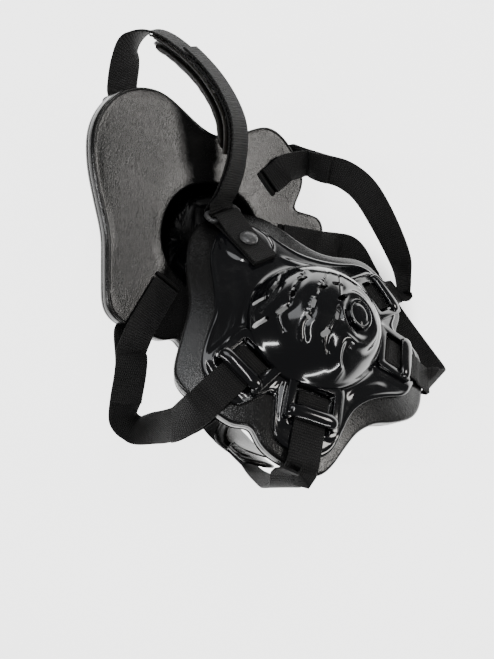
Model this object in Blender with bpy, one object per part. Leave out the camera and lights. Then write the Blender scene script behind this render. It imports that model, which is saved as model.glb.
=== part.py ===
# Wrestling headgear: two shelled ear guards joined by five runs of webbing.
# Each guard is designed flat in its own frame (x forward-back, y to the crown,
# h outwards from the pad's outer skin), bent a little, and then placed.
# Everything is designed in millimetres and written in metres, with +Z up.
import math
import bmesh
import bpy
from mathutils import Euler, Matrix, Vector

MM = 0.001

# The pad.
PAD_THICK = 10.0
LINER_THICK = 0.8
EAR_RADIUS = 40.0
EAR_CENTRE = (3.0, -2.0)
BEND_RADIUS = 400.0
TWIST = -0.0006

# The shell.
SHELL_BASE = 0.3
SHELL_THICK = 2.0
DOME_CENTRE = (6.0, -1.0)
DOME_HALF = (49.0, 44.0)
DOME_HEIGHT = 28.0
SWIRL_DEPTH = 1.0
SWIRL_COUNT = 5
EMBLEM_AT = (14.0, -12.0)
EMBLEM_HALF = (7.0, 10.0)

# The strap buckles moulded into the shell: centre of the window and the way out.
BUCKLES = {
    "front": ((-49.0, -1.0), 191.0),
    "chin": ((-30.0, -40.0), 224.0),
    "lower": ((49.0, -40.0), -50.0),
    "upper": ((69.0, -1.0), -2.0),
}
WEB_WIDTH = 20.0
WEB_THICK = 1.5
SLOT_WIDTH = 24.0
SLOT_LENGTH = 4.4
SLOT_OFFSET = -5.0
BUCKLE_HALF = 17.0
BAR_FROM = 6.0
BAR_TO = 13.0

# The crown fastening.
SNAP_AT = (5.0, 74.0)
SNAP_CAP_RADIUS = 6.2
RING_BAR = 3.0

# Where the guards lie: turns about X, Y, Z in degrees and the frame's origin.
NEAR_TURN = (-16.7, 33.0, 25.3)
NEAR_AT = (39.0, 0.0, 88.0)
FAR_TURN = (155.2, -20.3, -131.4)
FAR_AT = (-34.0, 65.0, 40.0)

PAD_OUTLINE = [
    (-84, 24), (-70, 38), (-57, 52), (-45, 72), (-35, 88), (-22, 102), (-7, 109),
    (10, 110), (25, 104), (36, 94), (42, 80), (47, 64), (54, 51), (66, 42),
    (80, 37), (92, 31), (98, 20), (99, 5), (96, -10), (90, -20), (79, -26),
    (72, -30), (75, -37), (82, -45), (82, -54), (73, -65), (62, -74), (51, -81),
    (38, -83), (20, -78), (6, -72), (-10, -70), (-25, -73), (-40, -77), (-51, -76),
    (-60, -66), (-68, -52), (-70, -42), (-69, -33), (-77, -27), (-82, -17),
    (-87, -5), (-91, 6), (-90, 16),
]
SHELL_OUTLINE = [
    (2, 94), (14, 92), (24, 82), (29, 66), (36, 52), (48, 41), (63, 33), (80, 27),
    (89, 18), (91, 2), (87, -12), (77, -20), (69, -25), (68, -31), (75, -40),
    (76, -50), (67, -59), (54, -65), (40, -68), (26, -63), (10, -58), (-4, -57),
    (-16, -60), (-28, -66), (-40, -69), (-50, -65), (-59, -54), (-62, -44),
    (-58, -36), (-50, -29), (-48, -25), (-51, -21), (-58, -20), (-67, -21),
    (-74, -13), (-77, 0), (-74, 13), (-63, 25), (-50, 36), (-42, 46), (-33, 61),
    (-24, 76), (-12, 88),
]

for old in list(bpy.data.objects):
    bpy.data.objects.remove(old, do_unlink=True)


def plain_material(name, colour, roughness, metallic=0.0):
    material = bpy.data.materials.new(name)
    material.use_nodes = True
    shader = material.node_tree.nodes["Principled BSDF"]
    shader.inputs["Base Color"].default_value = (*colour, 1.0)
    shader.inputs["Roughness"].default_value = roughness
    shader.inputs["Metallic"].default_value = metallic
    return material


GLOSS = plain_material("gloss_shell", (0.012, 0.012, 0.014), 0.12)
SKIN = plain_material("grained_vinyl", (0.02, 0.02, 0.021), 0.4)
WEBBING = plain_material("webbing", (0.025, 0.025, 0.027), 0.85)
SATIN = plain_material("satin_cap", (0.06, 0.06, 0.062), 0.3)
HOOK = plain_material("hook_and_loop", (0.02, 0.02, 0.02), 0.95)
SLEEVE = plain_material("sleeve_vinyl", (0.03, 0.027, 0.025), 0.5)


def bend(x, y, h):
    # The pad's outer face as a shallow saucer, and h measured square to it.
    slope_x = x / BEND_RADIUS + TWIST * y
    slope_y = y / BEND_RADIUS + TWIST * x
    drop = (x * x + y * y) / (2 * BEND_RADIUS) + TWIST * x * y
    normal = Vector((slope_x, slope_y, 1.0)).normalized()
    return Vector((x, y, -drop)) + normal * h


class Guard:
    def __init__(self, side, turn, at, flip):
        self.side = side
        self.flip = flip
        self.turn = Euler([math.radians(a) for a in turn], "XYZ").to_matrix()
        self.at = Vector(at)

    def place(self, x, y, h):
        point = bend(x, y, h)
        point.x *= self.flip
        return self.turn @ point + self.at

    def aim(self, x, y, h, dx, dy, dh=0.0):
        step = 0.5
        return (self.place(x + dx * step, y + dy * step, h + dh * step) - self.place(x, y, h)).normalized()


NEAR = Guard("near", NEAR_TURN, NEAR_AT, 1.0)
FAR = Guard("far", FAR_TURN, FAR_AT, -1.0)


def new_object(name, vertices, faces, material, turn_over=False):
    mesh = bpy.data.meshes.new(name)
    mesh.from_pydata([v * MM for v in vertices], [], faces)
    body = bmesh.new()
    body.from_mesh(mesh)
    if turn_over:
        bmesh.ops.reverse_faces(body, faces=body.faces)
    bmesh.ops.triangulate(body, faces=[f for f in body.faces if len(f.verts) > 4])
    body.to_mesh(mesh)
    body.free()
    mesh.materials.append(material)
    obj = bpy.data.objects.new(name, mesh)
    bpy.context.scene.collection.objects.link(obj)
    return obj


def reach_at(outline, centre, angle):
    # How far the closed outline lies from centre along a direction.
    way = Vector((math.cos(angle), math.sin(angle)))
    best = 0.0
    for index, first in enumerate(outline):
        a = Vector(first) - Vector(centre)
        b = Vector(outline[(index + 1) % len(outline)]) - Vector(centre)
        edge = b - a
        below = way.x * edge.y - way.y * edge.x
        if abs(below) < 1e-9:
            continue
        reach = (a.x * edge.y - a.y * edge.x) / below
        along = (a.x * way.y - a.y * way.x) / below
        if reach > 0 and -1e-9 <= along <= 1 + 1e-9:
            best = max(best, reach)
    return best


def smooth_reach(outline, centre, count):
    raw = [reach_at(outline, centre, 2 * math.pi * i / count) for i in range(count)]
    return [(raw[i - 1] + 4 * raw[i] + raw[(i + 1) % count]) / 6 for i in range(count)]


def band(name, guard, loops, material):
    # A closed ring-shaped body: each loop is one turn of (x, y, h) points, and
    # the last loop joins the first.
    count = len(loops[0])
    vertices = [guard.place(*point) for loop in loops for point in loop]
    faces = []
    for j in range(len(loops)):
        k = (j + 1) % len(loops)
        for i in range(count):
            n = (i + 1) % count
            faces.append((j * count + i, j * count + n, k * count + n, k * count + i))
    return new_object(name, vertices, faces, material, guard.flip < 0)


AROUND = 54
PAD_REACH = smooth_reach(PAD_OUTLINE, EAR_CENTRE, AROUND)
SHELL_REACH = smooth_reach(SHELL_OUTLINE, DOME_CENTRE, AROUND)


def ring_loop(centre, reach, inner, share, inset, h):
    loop = []
    for i in range(AROUND):
        angle = 2 * math.pi * i / AROUND
        r = inner + (reach[i] - inset - inner) * share
        loop.append((centre[0] + r * math.cos(angle), centre[1] + r * math.sin(angle), h))
    return loop


def foam_pad(guard):
    loops = []
    for share, inset, h in (
        (0.0, 0, 0), (0.25, 0, 0), (0.5, 0, 0), (0.75, 0, 0), (1.0, 2.2, 0.0), (1.0, 0.6, -0.8),
        (1.0, 0, -2.6), (1.0, 0, -PAD_THICK + 2.6), (1.0, 0.7, -PAD_THICK + 0.8),
        (1.0, 2.4, -PAD_THICK), (0.75, 0, -PAD_THICK), (0.5, 0, -PAD_THICK), (0.25, 0, -PAD_THICK),
        (0.0, 0, -PAD_THICK),
    ):
        loops.append(ring_loop(EAR_CENTRE, PAD_REACH, EAR_RADIUS, share, inset, h))
    loops.reverse()
    return band(f"{guard.side}_foam_pad", guard, loops, SKIN)


def liner(guard):
    top = -PAD_THICK - 0.3
    low = top - LINER_THICK
    loops = []
    for share, inset, h in (
        (0.0, 0, top), (0.33, 0, top), (0.66, 0, top), (1.0, 3.0, top),
        (1.0, 3.0, low), (0.66, 0, low), (0.33, 0, low), (0.0, 0, low),
    ):
        loops.append(ring_loop(EAR_CENTRE, PAD_REACH, EAR_RADIUS + 0.5, share, inset, h))
    loops.reverse()
    return band(f"{guard.side}_skin_liner", guard, loops, SKIN)


def dome_height(x, y):
    # Height of the shell's outer face over its flat flange.
    u = (x - DOME_CENTRE[0]) / DOME_HALF[0]
    v = (y - DOME_CENTRE[1]) / DOME_HALF[1]
    r = math.hypot(u, v)
    if r >= 1.0:
        return 0.0
    rise = DOME_HEIGHT * (1 - r ** 2.6) ** 0.72
    turn = math.atan2(v, u)
    swirl = math.sin(SWIRL_COUNT * (turn + 1.1 * r))
    return rise + SWIRL_DEPTH * swirl * (4 * r * (1 - r)) ** 2


def shell(guard):
    # Outer and inner faces as rings round the dome's pole, closed at the rim.
    count = AROUND
    shares = (0.2, 0.42, 0.6, 0.75, 0.87, 0.95, 1.0)
    vertices = []
    rings = []

    def add_ring(points):
        start = len(vertices)
        vertices.extend(guard.place(*p) for p in points)
        rings.append(start)

    def dome_ring(share, under):
        points = []
        for i in range(count):
            angle = 2 * math.pi * i / count
            u = share * math.cos(angle)
            v = share * math.sin(angle)
            rise = dome_height(DOME_CENTRE[0] + DOME_HALF[0] * u, DOME_CENTRE[1] + DOME_HALF[1] * v)
            inset = SHELL_THICK - 0.2 if under else 0.0
            x = DOME_CENTRE[0] + (DOME_HALF[0] - inset) * u
            y = DOME_CENTRE[1] + (DOME_HALF[1] - inset) * v
            h = SHELL_BASE + rise + (0.0 if under else SHELL_THICK)
            points.append((x, y, h))
        return points

    def flange_ring(share, h, inset=0.0):
        points = []
        for i in range(count):
            angle = 2 * math.pi * i / count
            cosine, sine = math.cos(angle), math.sin(angle)
            inner = 1.0 / math.hypot(cosine / DOME_HALF[0], sine / DOME_HALF[1])
            r = inner + (SHELL_REACH[i] - inset - inner) * share
            points.append((DOME_CENTRE[0] + r * cosine, DOME_CENTRE[1] + r * sine, h))
        return points

    top_pole = len(vertices)
    peak = dome_height(*DOME_CENTRE)
    vertices.append(guard.place(*DOME_CENTRE, SHELL_BASE + SHELL_THICK + peak))
    for share in shares:
        add_ring(dome_ring(share, False))
    for share in (0.35, 0.7):
        add_ring(flange_ring(share, SHELL_BASE + SHELL_THICK))
    add_ring(flange_ring(1.0, SHELL_BASE + SHELL_THICK, 0.7))
    add_ring(flange_ring(1.0, SHELL_BASE + SHELL_THICK - 0.7))
    add_ring(flange_ring(1.0, SHELL_BASE))
    for share in (0.7, 0.35):
        add_ring(flange_ring(share, SHELL_BASE))
    for share in reversed(shares):
        add_ring(dome_ring(share, True))
    low_pole = len(vertices)
    vertices.append(guard.place(*DOME_CENTRE, SHELL_BASE + peak))
    faces = []
    for i in range(count):
        n = (i + 1) % count
        faces.append((top_pole, rings[0] + i, rings[0] + n))
        faces.append((low_pole, rings[-1] + n, rings[-1] + i))
        for a, b in zip(rings[:-1], rings[1:]):
            faces.append((a + i, b + i, b + n, a + n))
    return new_object(f"{guard.side}_outer_shell", vertices, faces, GLOSS, guard.flip < 0)


def turned(centre, degrees, along, across):
    a = math.radians(degrees)
    return (centre[0] + along * math.cos(a) - across * math.sin(a),
            centre[1] + along * math.sin(a) + across * math.cos(a))


def block_parts(guard, centre, degrees, along, across, heights, chamfer, steps=2):
    # A chamfered bar lying on the guard: corner points and faces.
    a0, a1 = along
    c0, c1 = across
    h0, h1 = heights
    section = [(a0, h0), (a1, h0), (a1, h1 - chamfer), (a1 - chamfer, h1), (a0 + chamfer, h1), (a0, h1 - chamfer)]
    vertices = []
    for s in range(steps + 1):
        across_here = c0 + (c1 - c0) * s / steps
        for a, h in section:
            x, y = turned(centre, degrees, a, across_here)
            vertices.append(guard.place(x, y, h))
    width = len(section)
    faces = [tuple(range(width)), tuple(steps * width + i for i in reversed(range(width)))]
    for s in range(steps):
        for i in range(width):
            n = (i + 1) % width
            faces.append((s * width + i, (s + 1) * width + i, (s + 1) * width + n, s * width + n))
    return vertices, faces


def gather(name, pieces, material, turn_over):
    vertices = []
    faces = []
    for piece_vertices, piece_faces in pieces:
        start = len(vertices)
        vertices += piece_vertices
        faces += [tuple(start + i for i in face) for face in piece_faces]
    return new_object(name, vertices, faces, material, turn_over)


def outward(obj):
    body = bmesh.new()
    body.from_mesh(obj.data)
    bmesh.ops.recalc_face_normals(body, faces=body.faces)
    body.to_mesh(obj.data)
    body.free()


def hide_tool(obj):
    obj.hide_render = True
    obj.display_type = "WIRE"


def boolean(obj, tool, operation):
    modifier = obj.modifiers.new(tool.name, "BOOLEAN")
    modifier.operation = operation
    modifier.solver = "EXACT"
    modifier.object = tool
    hide_tool(tool)


def buckle_frames(guard):
    # The rails, the window's inner ends and the bars, as three sets of separate bars.
    edge = BUCKLE_HALF
    rails = []
    ends = []
    bars = []
    for centre, degrees in BUCKLES.values():
        rails.append(block_parts(guard, centre, degrees, (-12.5, 14.8), (-edge, -edge + 4.6), (1.0, 8.0), 1.4))
        rails.append(block_parts(guard, centre, degrees, (-12.5, 14.8), (edge - 4.6, edge), (1.0, 8.0), 1.4))
        ends.append(block_parts(guard, centre, degrees, (-12.3, -8.0), (-edge + 1.7, edge - 1.7), (1.1, 7.4), 1.3))
        bars.append(block_parts(guard, centre, degrees, (BAR_FROM, BAR_TO), (-edge + 1.9, edge - 1.9), (5.2, 9.6), 1.6))
    tools = []
    for kind, pieces in (("rail", rails), ("end", ends), ("bar", bars)):
        tool = gather(f"{guard.side}_{kind}_tool", pieces, GLOSS, False)
        outward(tool)
        tools.append(tool)
    return tools


def slot_cutter(guard, name, heights, slack):
    pieces = []
    for centre, degrees in BUCKLES.values():
        half = SLOT_WIDTH / 2 + slack
        along = (SLOT_OFFSET - SLOT_LENGTH / 2 - slack, SLOT_OFFSET + SLOT_LENGTH / 2 + slack)
        pieces.append(block_parts(guard, centre, degrees, along, (-half, half), heights, 0.01))
    tool = gather(name, pieces, GLOSS, False)
    outward(tool)
    return tool


VENTS = [
    (1, 36, 0), (-13, 29, 25), (-25, 26, -30), (-34, 14, -15),
    (0, 23, 5), (-12, 17, 40), (-23, 12, 0),
    (5, 12, 5), (-7, 6, 35),
    (16, 10, -25), (11, 1, 5), (1, -6, 40), (-12, -12, 5),
]


def vent_cutter(guard):
    pieces = []
    for x, y, degrees in VENTS:
        pieces.append(block_parts(guard, (x, y), degrees, (-3.4, 3.4), (-1.3, 1.3), (4.0, 40.0), 0.01, 1))
    tool = gather(f"{guard.side}_vent_tool", pieces, GLOSS, False)
    outward(tool)
    return tool


def disc(guard, name, centre, profile, material, count=20, squash=(1.0, 1.0)):
    # A turned body from (radius, h) pairs, first and last on the axis.
    vertices = []
    rows = []
    for radius, h in profile:
        if radius == 0:
            rows.append([len(vertices)])
            vertices.append(guard.place(centre[0], centre[1], h))
            continue
        row = []
        for i in range(count):
            angle = 2 * math.pi * i / count
            row.append(len(vertices))
            x = centre[0] + radius * squash[0] * math.cos(angle)
            y = centre[1] + radius * squash[1] * math.sin(angle)
            vertices.append(guard.place(x, y, h))
        rows.append(row)
    faces = []
    for low, high in zip(rows[:-1], rows[1:]):
        for i in range(count):
            n = (i + 1) % count
            if len(low) == 1:
                faces.append((low[0], high[i], high[n]))
            elif len(high) == 1:
                faces.append((low[i], low[n], high[0]))
            else:
                faces.append((low[i], low[n], high[n], high[i]))
    obj = new_object(name, vertices, faces, material)
    outward(obj)
    return obj


def washer(guard):
    outer = [(5.2, -1.2), (5.2, -0.1)]
    inner = [(2.9, -0.1), (2.9, -1.2)]
    loops = []
    for radius, h in outer + inner:
        loop = []
        for i in range(16):
            angle = 2 * math.pi * i / 16
            loop.append((SNAP_AT[0] + radius * math.cos(angle), SNAP_AT[1] + radius * math.sin(angle), h))
        loops.append(loop)
    obj = band(f"{guard.side}_snap_washer", guard, loops, SATIN)
    outward(obj)
    return obj


def sample(path, steps=3):
    # Even samples of (point, across, up) along smoothed (centre, across) pairs.
    def spline(a, b, c, d, t):
        return 0.5 * (2 * b + (c - a) * t + (2 * a - 5 * b + 4 * c - d) * t * t + (3 * b - a - 3 * c + d) * t ** 3)

    centres = [Vector(p) for p, _ in path]
    acrosses = [Vector(path[0][1]).normalized()]
    for _, side in path[1:]:
        # Across is a line, so each one is turned to agree with the one before.
        turn = -1.0 if Vector(side).dot(acrosses[-1]) < 0 else 1.0
        acrosses.append(Vector(side).normalized() * turn)
    first = [2 * centres[0] - centres[1]] + centres + [2 * centres[-1] - centres[-2]]
    sides = [acrosses[0]] + acrosses + [acrosses[-1]]
    points = []
    widths = []
    for i in range(1, len(first) - 2):
        gap = (first[i + 1] - first[i]).length
        count = max(1, min(steps, int(gap / 3.5)))
        for s in range(count):
            t = s / count
            points.append(spline(first[i - 1], first[i], first[i + 1], first[i + 2], t))
            widths.append(sides[i].lerp(sides[i + 1], t))
    points.append(centres[-1])
    widths.append(acrosses[-1])
    samples = []
    for i, point in enumerate(points):
        ahead = points[min(i + 1, len(points) - 1)] - points[max(i - 1, 0)]
        side = (widths[i] - ahead * (widths[i].dot(ahead) / ahead.length_squared)).normalized()
        samples.append((point, side, ahead.cross(side).normalized()))
    return samples


def ribbon(name, samples, width, thick, material):
    vertices = []
    for point, side, up in samples:
        for a, b in ((-1, -1), (1, -1), (1, 1), (-1, 1)):
            vertices.append(point + side * (a * width / 2) + up * (b * thick / 2))
    faces = [(0, 1, 2, 3), tuple(len(vertices) - 4 + i for i in (3, 2, 1, 0))]
    for s in range(len(samples) - 1):
        for i in range(4):
            n = (i + 1) % 4
            faces.append((4 * s + i, 4 * s + 4 + i, 4 * s + 4 + n, 4 * s + n))
    obj = new_object(name, vertices, faces, material)
    outward(obj)
    return obj


def beside(samples, offset, start, end, spacing=5.0):
    # The stretch of a run between two distances along it, moved along its up.
    gone = [0.0]
    for one, two in zip(samples[:-1], samples[1:]):
        gone.append(gone[-1] + (two[0] - one[0]).length)
    end = min(end, gone[-1])
    count = max(2, round((end - start) / spacing))
    path = []
    for i in range(count + 1):
        want = start + (end - start) * i / count
        k = max(1, min(len(gone) - 1, sum(1 for g in gone if g < want)))
        t = (want - gone[k - 1]) / max(gone[k] - gone[k - 1], 1e-9)
        (p, side, up), (q, next_side, next_up) = samples[k - 1], samples[k]
        path.append((p.lerp(q, t) + up.lerp(next_up, t).normalized() * offset, side.lerp(next_side, t)))
    return path


def length_of(samples):
    return sum((b[0] - a[0]).length for a, b in zip(samples[:-1], samples[1:]))


def over_guard(guard, key, stations):
    # Path points on a guard at (along, h) from a buckle's window.
    centre, degrees = BUCKLES[key]
    path = []
    for along, h in stations:
        x, y = turned(centre, degrees, along, 0)
        angle = math.radians(degrees)
        side = guard.aim(x, y, h, -math.sin(angle), math.cos(angle))
        path.append((guard.place(x, y, h), side))
    return path


DOWN_SLOT = [(-3.1, 3.45), (-4.9, 1.0), (-5.2, -4.0), (-5.1, -8.6)]
UNDER_TURN = [(-4.2, -11.4), (-2.2, -12.8)]
# How far the webbing runs from the window to just past the pad's edge.
EDGE = {"front": 42.0, "chin": 42.0, "lower": 38.0, "upper": 34.0}
# How far the shell's own edge is from the window: the webbing drops past it.
SHELL_EDGE = {"front": 29.0, "chin": 35.0, "lower": 24.0, "upper": 23.0}
# How far each returned end runs past the pad's edge, along the main run.
RETURN = {
    "near": {"front": 20.0, "chin": 0.0, "lower": 0.0, "upper": 0.0},
    "far": {"front": 32.0, "chin": 12.0, "lower": 38.0, "upper": 22.0},
}
# This one leaves the skin at once, because its guard slopes away under it.
LIFTS_EARLY = ("far", "upper")
HOOK_LENGTH = 20.0
HOOK_THICK = 0.6


def strap_end(guard, key):
    # From the fold at the skin side, up the slot and out over the pad's edge.
    stations = list(reversed(UNDER_TURN)) + list(reversed(DOWN_SLOT))
    stations += [(0.5, 3.75), (5.0, 3.65), (12.0, 3.6), (18.0, 3.6)]
    stations += [(SHELL_EDGE[key], 3.4), (SHELL_EDGE[key] + 4.0, 1.6), (EDGE[key], 1.0)]
    return over_guard(guard, key, stations)


def strap(name, start_key, middle):
    # One run from the near guard's buckle to the far guard's buckle of that name.
    path = strap_end(NEAR, start_key)
    path += [(Vector(p), Vector(w)) for p, w in middle]
    path += list(reversed(strap_end(FAR, start_key)))
    samples = sample(path)
    return samples, ribbon(name, samples, WEB_WIDTH, WEB_THICK, WEBBING)


def strap_return(guard, key, run):
    # The returned end under the pad, then beside the main run, and its hook patch.
    samples = run if guard is NEAR else [(p, s, -u) for p, s, u in reversed(run)]
    edge = EDGE[key] + 24.0
    inward = guard.aim(*turned(*BUCKLES[key], 12.0, 0.0), 3.0, 0.0, 0.0, -1.0)
    near_bar = min(samples, key=lambda s: (s[0] - over_guard(guard, key, [(12.0, 3.35)])[0][0]).length)
    sign = 1.0 if near_bar[2].dot(inward) > 0 else -1.0
    apart = WEB_THICK + HOOK_THICK + 1.3
    reach = EDGE[key]
    under = [(-0.4, -13.0), (8.0, -13.1), (reach - 14, -13.2), (reach - 5, -13.3)]
    name = f"{guard.side}_{key}_strap_return"
    past = RETURN[guard.side][key]
    if past == 0.0:
        # Tucked away between the pad and what lies under it.
        return ribbon(name, sample(over_guard(guard, key, under)), WEB_WIDTH, WEB_THICK, WEBBING), None
    if LIFTS_EARLY == (guard.side, key):
        under = [(-0.4, -13.5), (8.0, -14.5), (16.0, -16.0)]
    start = edge + 14.0
    end = start + past
    path = over_guard(guard, key, under) + beside(samples, sign * apart, start, end, 3.0)
    made = ribbon(name, sample(path), WEB_WIDTH, WEB_THICK, WEBBING)
    patch_from = max(start + 6.0, end - HOOK_LENGTH - 2.0)
    patch_to = end - 3.0
    if LIFTS_EARLY == (guard.side, key):
        return made, None
    patch = sample(beside(samples, sign * apart * 0.5, patch_from, patch_to, 2.0))
    hook = ribbon(f"{guard.side}_{key}_hook_patch", patch, WEB_WIDTH - 3.0, HOOK_THICK, HOOK)
    return made, hook


FRONT_MIDDLE = [
    ((-43, -55, 117), (-0.2, 0.8, -0.5)), ((-59, -62, 93), (-0.3, 0.8, -0.5)),
    ((-74, -66, 76), (0.1, 0.8, -0.6)), ((-81, -58, 79), (0.75, 0.5, -0.4)),
    ((-78, -44, 85), (1.0, 0.1, -0.2)), ((-74, -22, 88), (0.97, -0.2, -0.2)),
]
UPPER_MIDDLE = [
    ((121, 29, 18), (0.2, -0.4, 0.85)), ((119, 45, 22), (0.3, 0.2, 0.9)),
    ((113, 60, 28), (0.5, 0.35, 0.78)), ((99, 85, 34), (0.7, 0.45, 0.55)),
    ((86, 103, 38), (0.65, 0.65, 0.4)), ((72, 114, 38), (0.2, 0.95, 0.25)),
    ((58, 121, 31), (0.0, 1.0, 0.3)), ((48, 129, 21), (-0.3, 0.9, 0.4)),
]
LOWER_MIDDLE = [
    ((130, -28, 50), (0.1, 1.0, 0.3)), ((140, -28, 36), (0.3, 0.9, 0.3)),
    ((138, -16, 20), (0.8, 0.5, 0.3)), ((116, 9, 7), (0.75, 0.6, 0.1)),
    ((96, 41, 5), (0.8, 0.6, 0.1)), ((81, 64, 6.5), (0.75, 0.6, 0.1)),
]
CHIN_MIDDLE = [
    ((23, -80, 131), (0.9, -0.3, -0.3)), ((22, -90, 120), (0.9, -0.2, -0.4)),
    ((18, -97, 96), (0.85, 0.0, -0.45)), ((12, -101, 66), (0.8, -0.1, -0.6)),
    ((4, -102, 38), (0.62, -0.3, -0.7)), ((-9, -95, 19), (0.58, -0.3, -0.75)),
    ((-23, -80, 17), (0.6, -0.25, -0.75)), ((-32, -61, 22), (0.72, -0.1, -0.65)),
    ((-34, -42, 35), (0.85, 0.0, -0.52)),
]
CROWN_MIDDLE = [
    ((-14, 97, 64), (0.62, 0.25, -0.72)), ((-8, 115, 71), (0.5, 0.2, -0.84)),
    ((-8, 138, 78), (0.5, 0.2, -0.84)), ((-21, 163, 81), (0.45, 0.3, -0.84)),
    ((-42, 184, 83), (0.35, 0.45, -0.8)), ((-60, 193, 84), (0.35, 0.5, -0.78)),
    ((-74, 186, 84), (0.5, 0.5, -0.7)), ((-79, 170, 84), (0.72, 0.42, -0.55)),
]

# A returned end turns at its fold: how far along and how high.
FOLD_AT = (-1.6, -12.9)
# A point on the hinge about which the two guards spread.
SPREAD_AT = (-50.6, 16.4, 89.0)

# The crown hardware's turn about each snap, in degrees.
CROWN_TURN = {"near": 0.0, "far": -20.0}
BAR_NEAR = 24.0
BAR_FAR = 33.0
RING_HALF = 13.5
RING_H = 6.6
WRAP = 3.3


def crown_xy(guard, across, along):
    a = math.radians(CROWN_TURN[guard.side])
    return (SNAP_AT[0] + across * math.cos(a) - along * math.sin(a),
            SNAP_AT[1] + across * math.sin(a) + along * math.cos(a))


def crown_path(guard, stations):
    a = math.radians(CROWN_TURN[guard.side])
    path = []
    for along, h in stations:
        x, y = crown_xy(guard, 0.0, along)
        path.append((guard.place(x, y, h), guard.aim(x, y, h, math.cos(a), math.sin(a))))
    return path


def wrap(bar, start, end, steps=4):
    # Points round a ring bar, by angle in degrees from straight out.
    points = []
    for i in range(steps + 1):
        angle = math.radians(start + (end - start) * i / steps)
        points.append((bar + WRAP * math.cos(angle), RING_H + WRAP * math.sin(angle)))
    return points


def crown_tab(guard):
    stations = [(-19.0, 3.45), (-6.0, 3.45), (6.0, 3.45), (16.0, 3.5)]
    stations += wrap(BAR_NEAR, -90, 90)
    stations += [(16.0, 7.6), (8.0, 5.8), (-6.0, 5.6), (-19.0, 5.6)]
    return ribbon(f"{guard.side}_crown_tab", sample(crown_path(guard, stations), 2), WEB_WIDTH, WEB_THICK, WEBBING)


def crown_ring(guard):
    # A rectangular ring: two bars across and two short sides.
    half = RING_BAR / 2
    outer = [(-RING_HALF, BAR_NEAR - half), (RING_HALF, BAR_NEAR - half), (RING_HALF, BAR_FAR + half), (-RING_HALF, BAR_FAR + half)]
    inner_half = RING_HALF - RING_BAR + 0.2
    inner = [(-inner_half, BAR_NEAR + half), (inner_half, BAR_NEAR + half), (inner_half, BAR_FAR - half), (-inner_half, BAR_FAR - half)]
    vertices = []
    for corners in (outer, inner):
        for h in (RING_H - half, RING_H + half):
            for across, along in corners:
                x, y = crown_xy(guard, across, along)
                vertices.append(guard.place(x, y, h))
    faces = []
    for i in range(4):
        n = (i + 1) % 4
        faces.append((i, n, 4 + n, 4 + i))
        faces.append((8 + i, 12 + i, 12 + n, 8 + n))
        faces.append((4 + i, 4 + n, 12 + n, 12 + i))
        faces.append((i, 8 + i, 8 + n, n))
    obj = new_object(f"{guard.side}_crown_ring", vertices, faces, SATIN)
    outward(obj)
    return obj


def round_cutter(guard, name, centre, radius, low, high):
    tool = disc(guard, name, centre, [(0, low), (radius, low), (radius, high), (0, high)], SATIN, 14)
    return tool


def set_origin(obj, place):
    # Moves the object's origin to a place without moving its mesh.
    obj.data.transform(Matrix.Translation(-place))
    obj.location = place


def build_guard(guard):
    side = guard.side
    made = {}
    made["shell"] = shell(guard)
    made["pad"] = foam_pad(guard)
    made["liner"] = liner(guard)
    for frames in buckle_frames(guard):
        boolean(made["shell"], frames, "UNION")
    slots = slot_cutter(guard, f"{side}_slot_tool", (-14.0, 4.6), 0.0)
    boolean(made["shell"], slots, "DIFFERENCE")
    boolean(made["pad"], slots, "DIFFERENCE")
    boolean(made["liner"], slots, "DIFFERENCE")
    boolean(made["shell"], vent_cutter(guard), "DIFFERENCE")
    rivet_hole = round_cutter(guard, f"{side}_rivet_tool", SNAP_AT, 2.9, -0.6, 9.0)
    boolean(made["shell"], rivet_hole, "DIFFERENCE")
    seat = round_cutter(guard, f"{side}_washer_seat_tool", SNAP_AT, 5.8, -2.2, 1.0)
    boolean(made["pad"], seat, "DIFFERENCE")
    made["tab"] = crown_tab(guard)
    boolean(made["tab"], rivet_hole, "DIFFERENCE")
    made["ring"] = crown_ring(guard)
    made["washer"] = washer(guard)
    made["cap"] = disc(guard, f"{side}_snap_cap", SNAP_AT, [
        (0, -1.6), (2.4, -1.6), (2.4, 6.8), (SNAP_CAP_RADIUS - 0.4, 6.8), (SNAP_CAP_RADIUS, 7.4),
        (5.4, 8.6), (3.4, 9.5), (0, 9.9)], SATIN, 24)
    rise = dome_height(*EMBLEM_AT) + SHELL_BASE + SHELL_THICK
    made["emblem"] = disc(guard, f"{side}_emblem_boss", EMBLEM_AT, [
        (0, rise + 0.9), (0.75, rise + 0.9), (1.0, rise + 0.9), (1.0, rise + 2.0), (0.9, rise + 2.6), (0, rise + 2.6)],
        GLOSS, 28, EMBLEM_HALF)
    return made


near_made = build_guard(NEAR)
far_made = build_guard(FAR)

runs = {}
for key, middle in (("front", FRONT_MIDDLE), ("upper", UPPER_MIDDLE), ("lower", LOWER_MIDDLE), ("chin", CHIN_MIDDLE)):
    runs[key], _ = strap(f"{key}_strap", key, middle)
returns = {}
for key, run in runs.items():
    for guard in (NEAR, FAR):
        returns[guard.side, key] = strap_return(guard, key, run)

CUP_AT = 0.56
# The chin cup rides on the head side of the chin strap.
chin_run = runs["chin"]
chin_total = length_of(chin_run)
toward_head = 1.0 if chin_run[len(chin_run) // 2][2].y > 0 else -1.0
cup_from = chin_total * CUP_AT - 30.0
cup_to = chin_total * CUP_AT + 30.0
cup_run = sample(beside(chin_run, toward_head * 5.6, cup_from, cup_to, 10.0), 2)
cup = ribbon("chin_cup", cup_run, 36.0, 4.4, SKIN)
lining_run = [(p + u * toward_head * 4.9, s, u) for p, s, u in cup_run[2:-2]]
lining = ribbon("chin_cup_lining", lining_run, 30.0, 1.4, SLEEVE)

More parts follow.
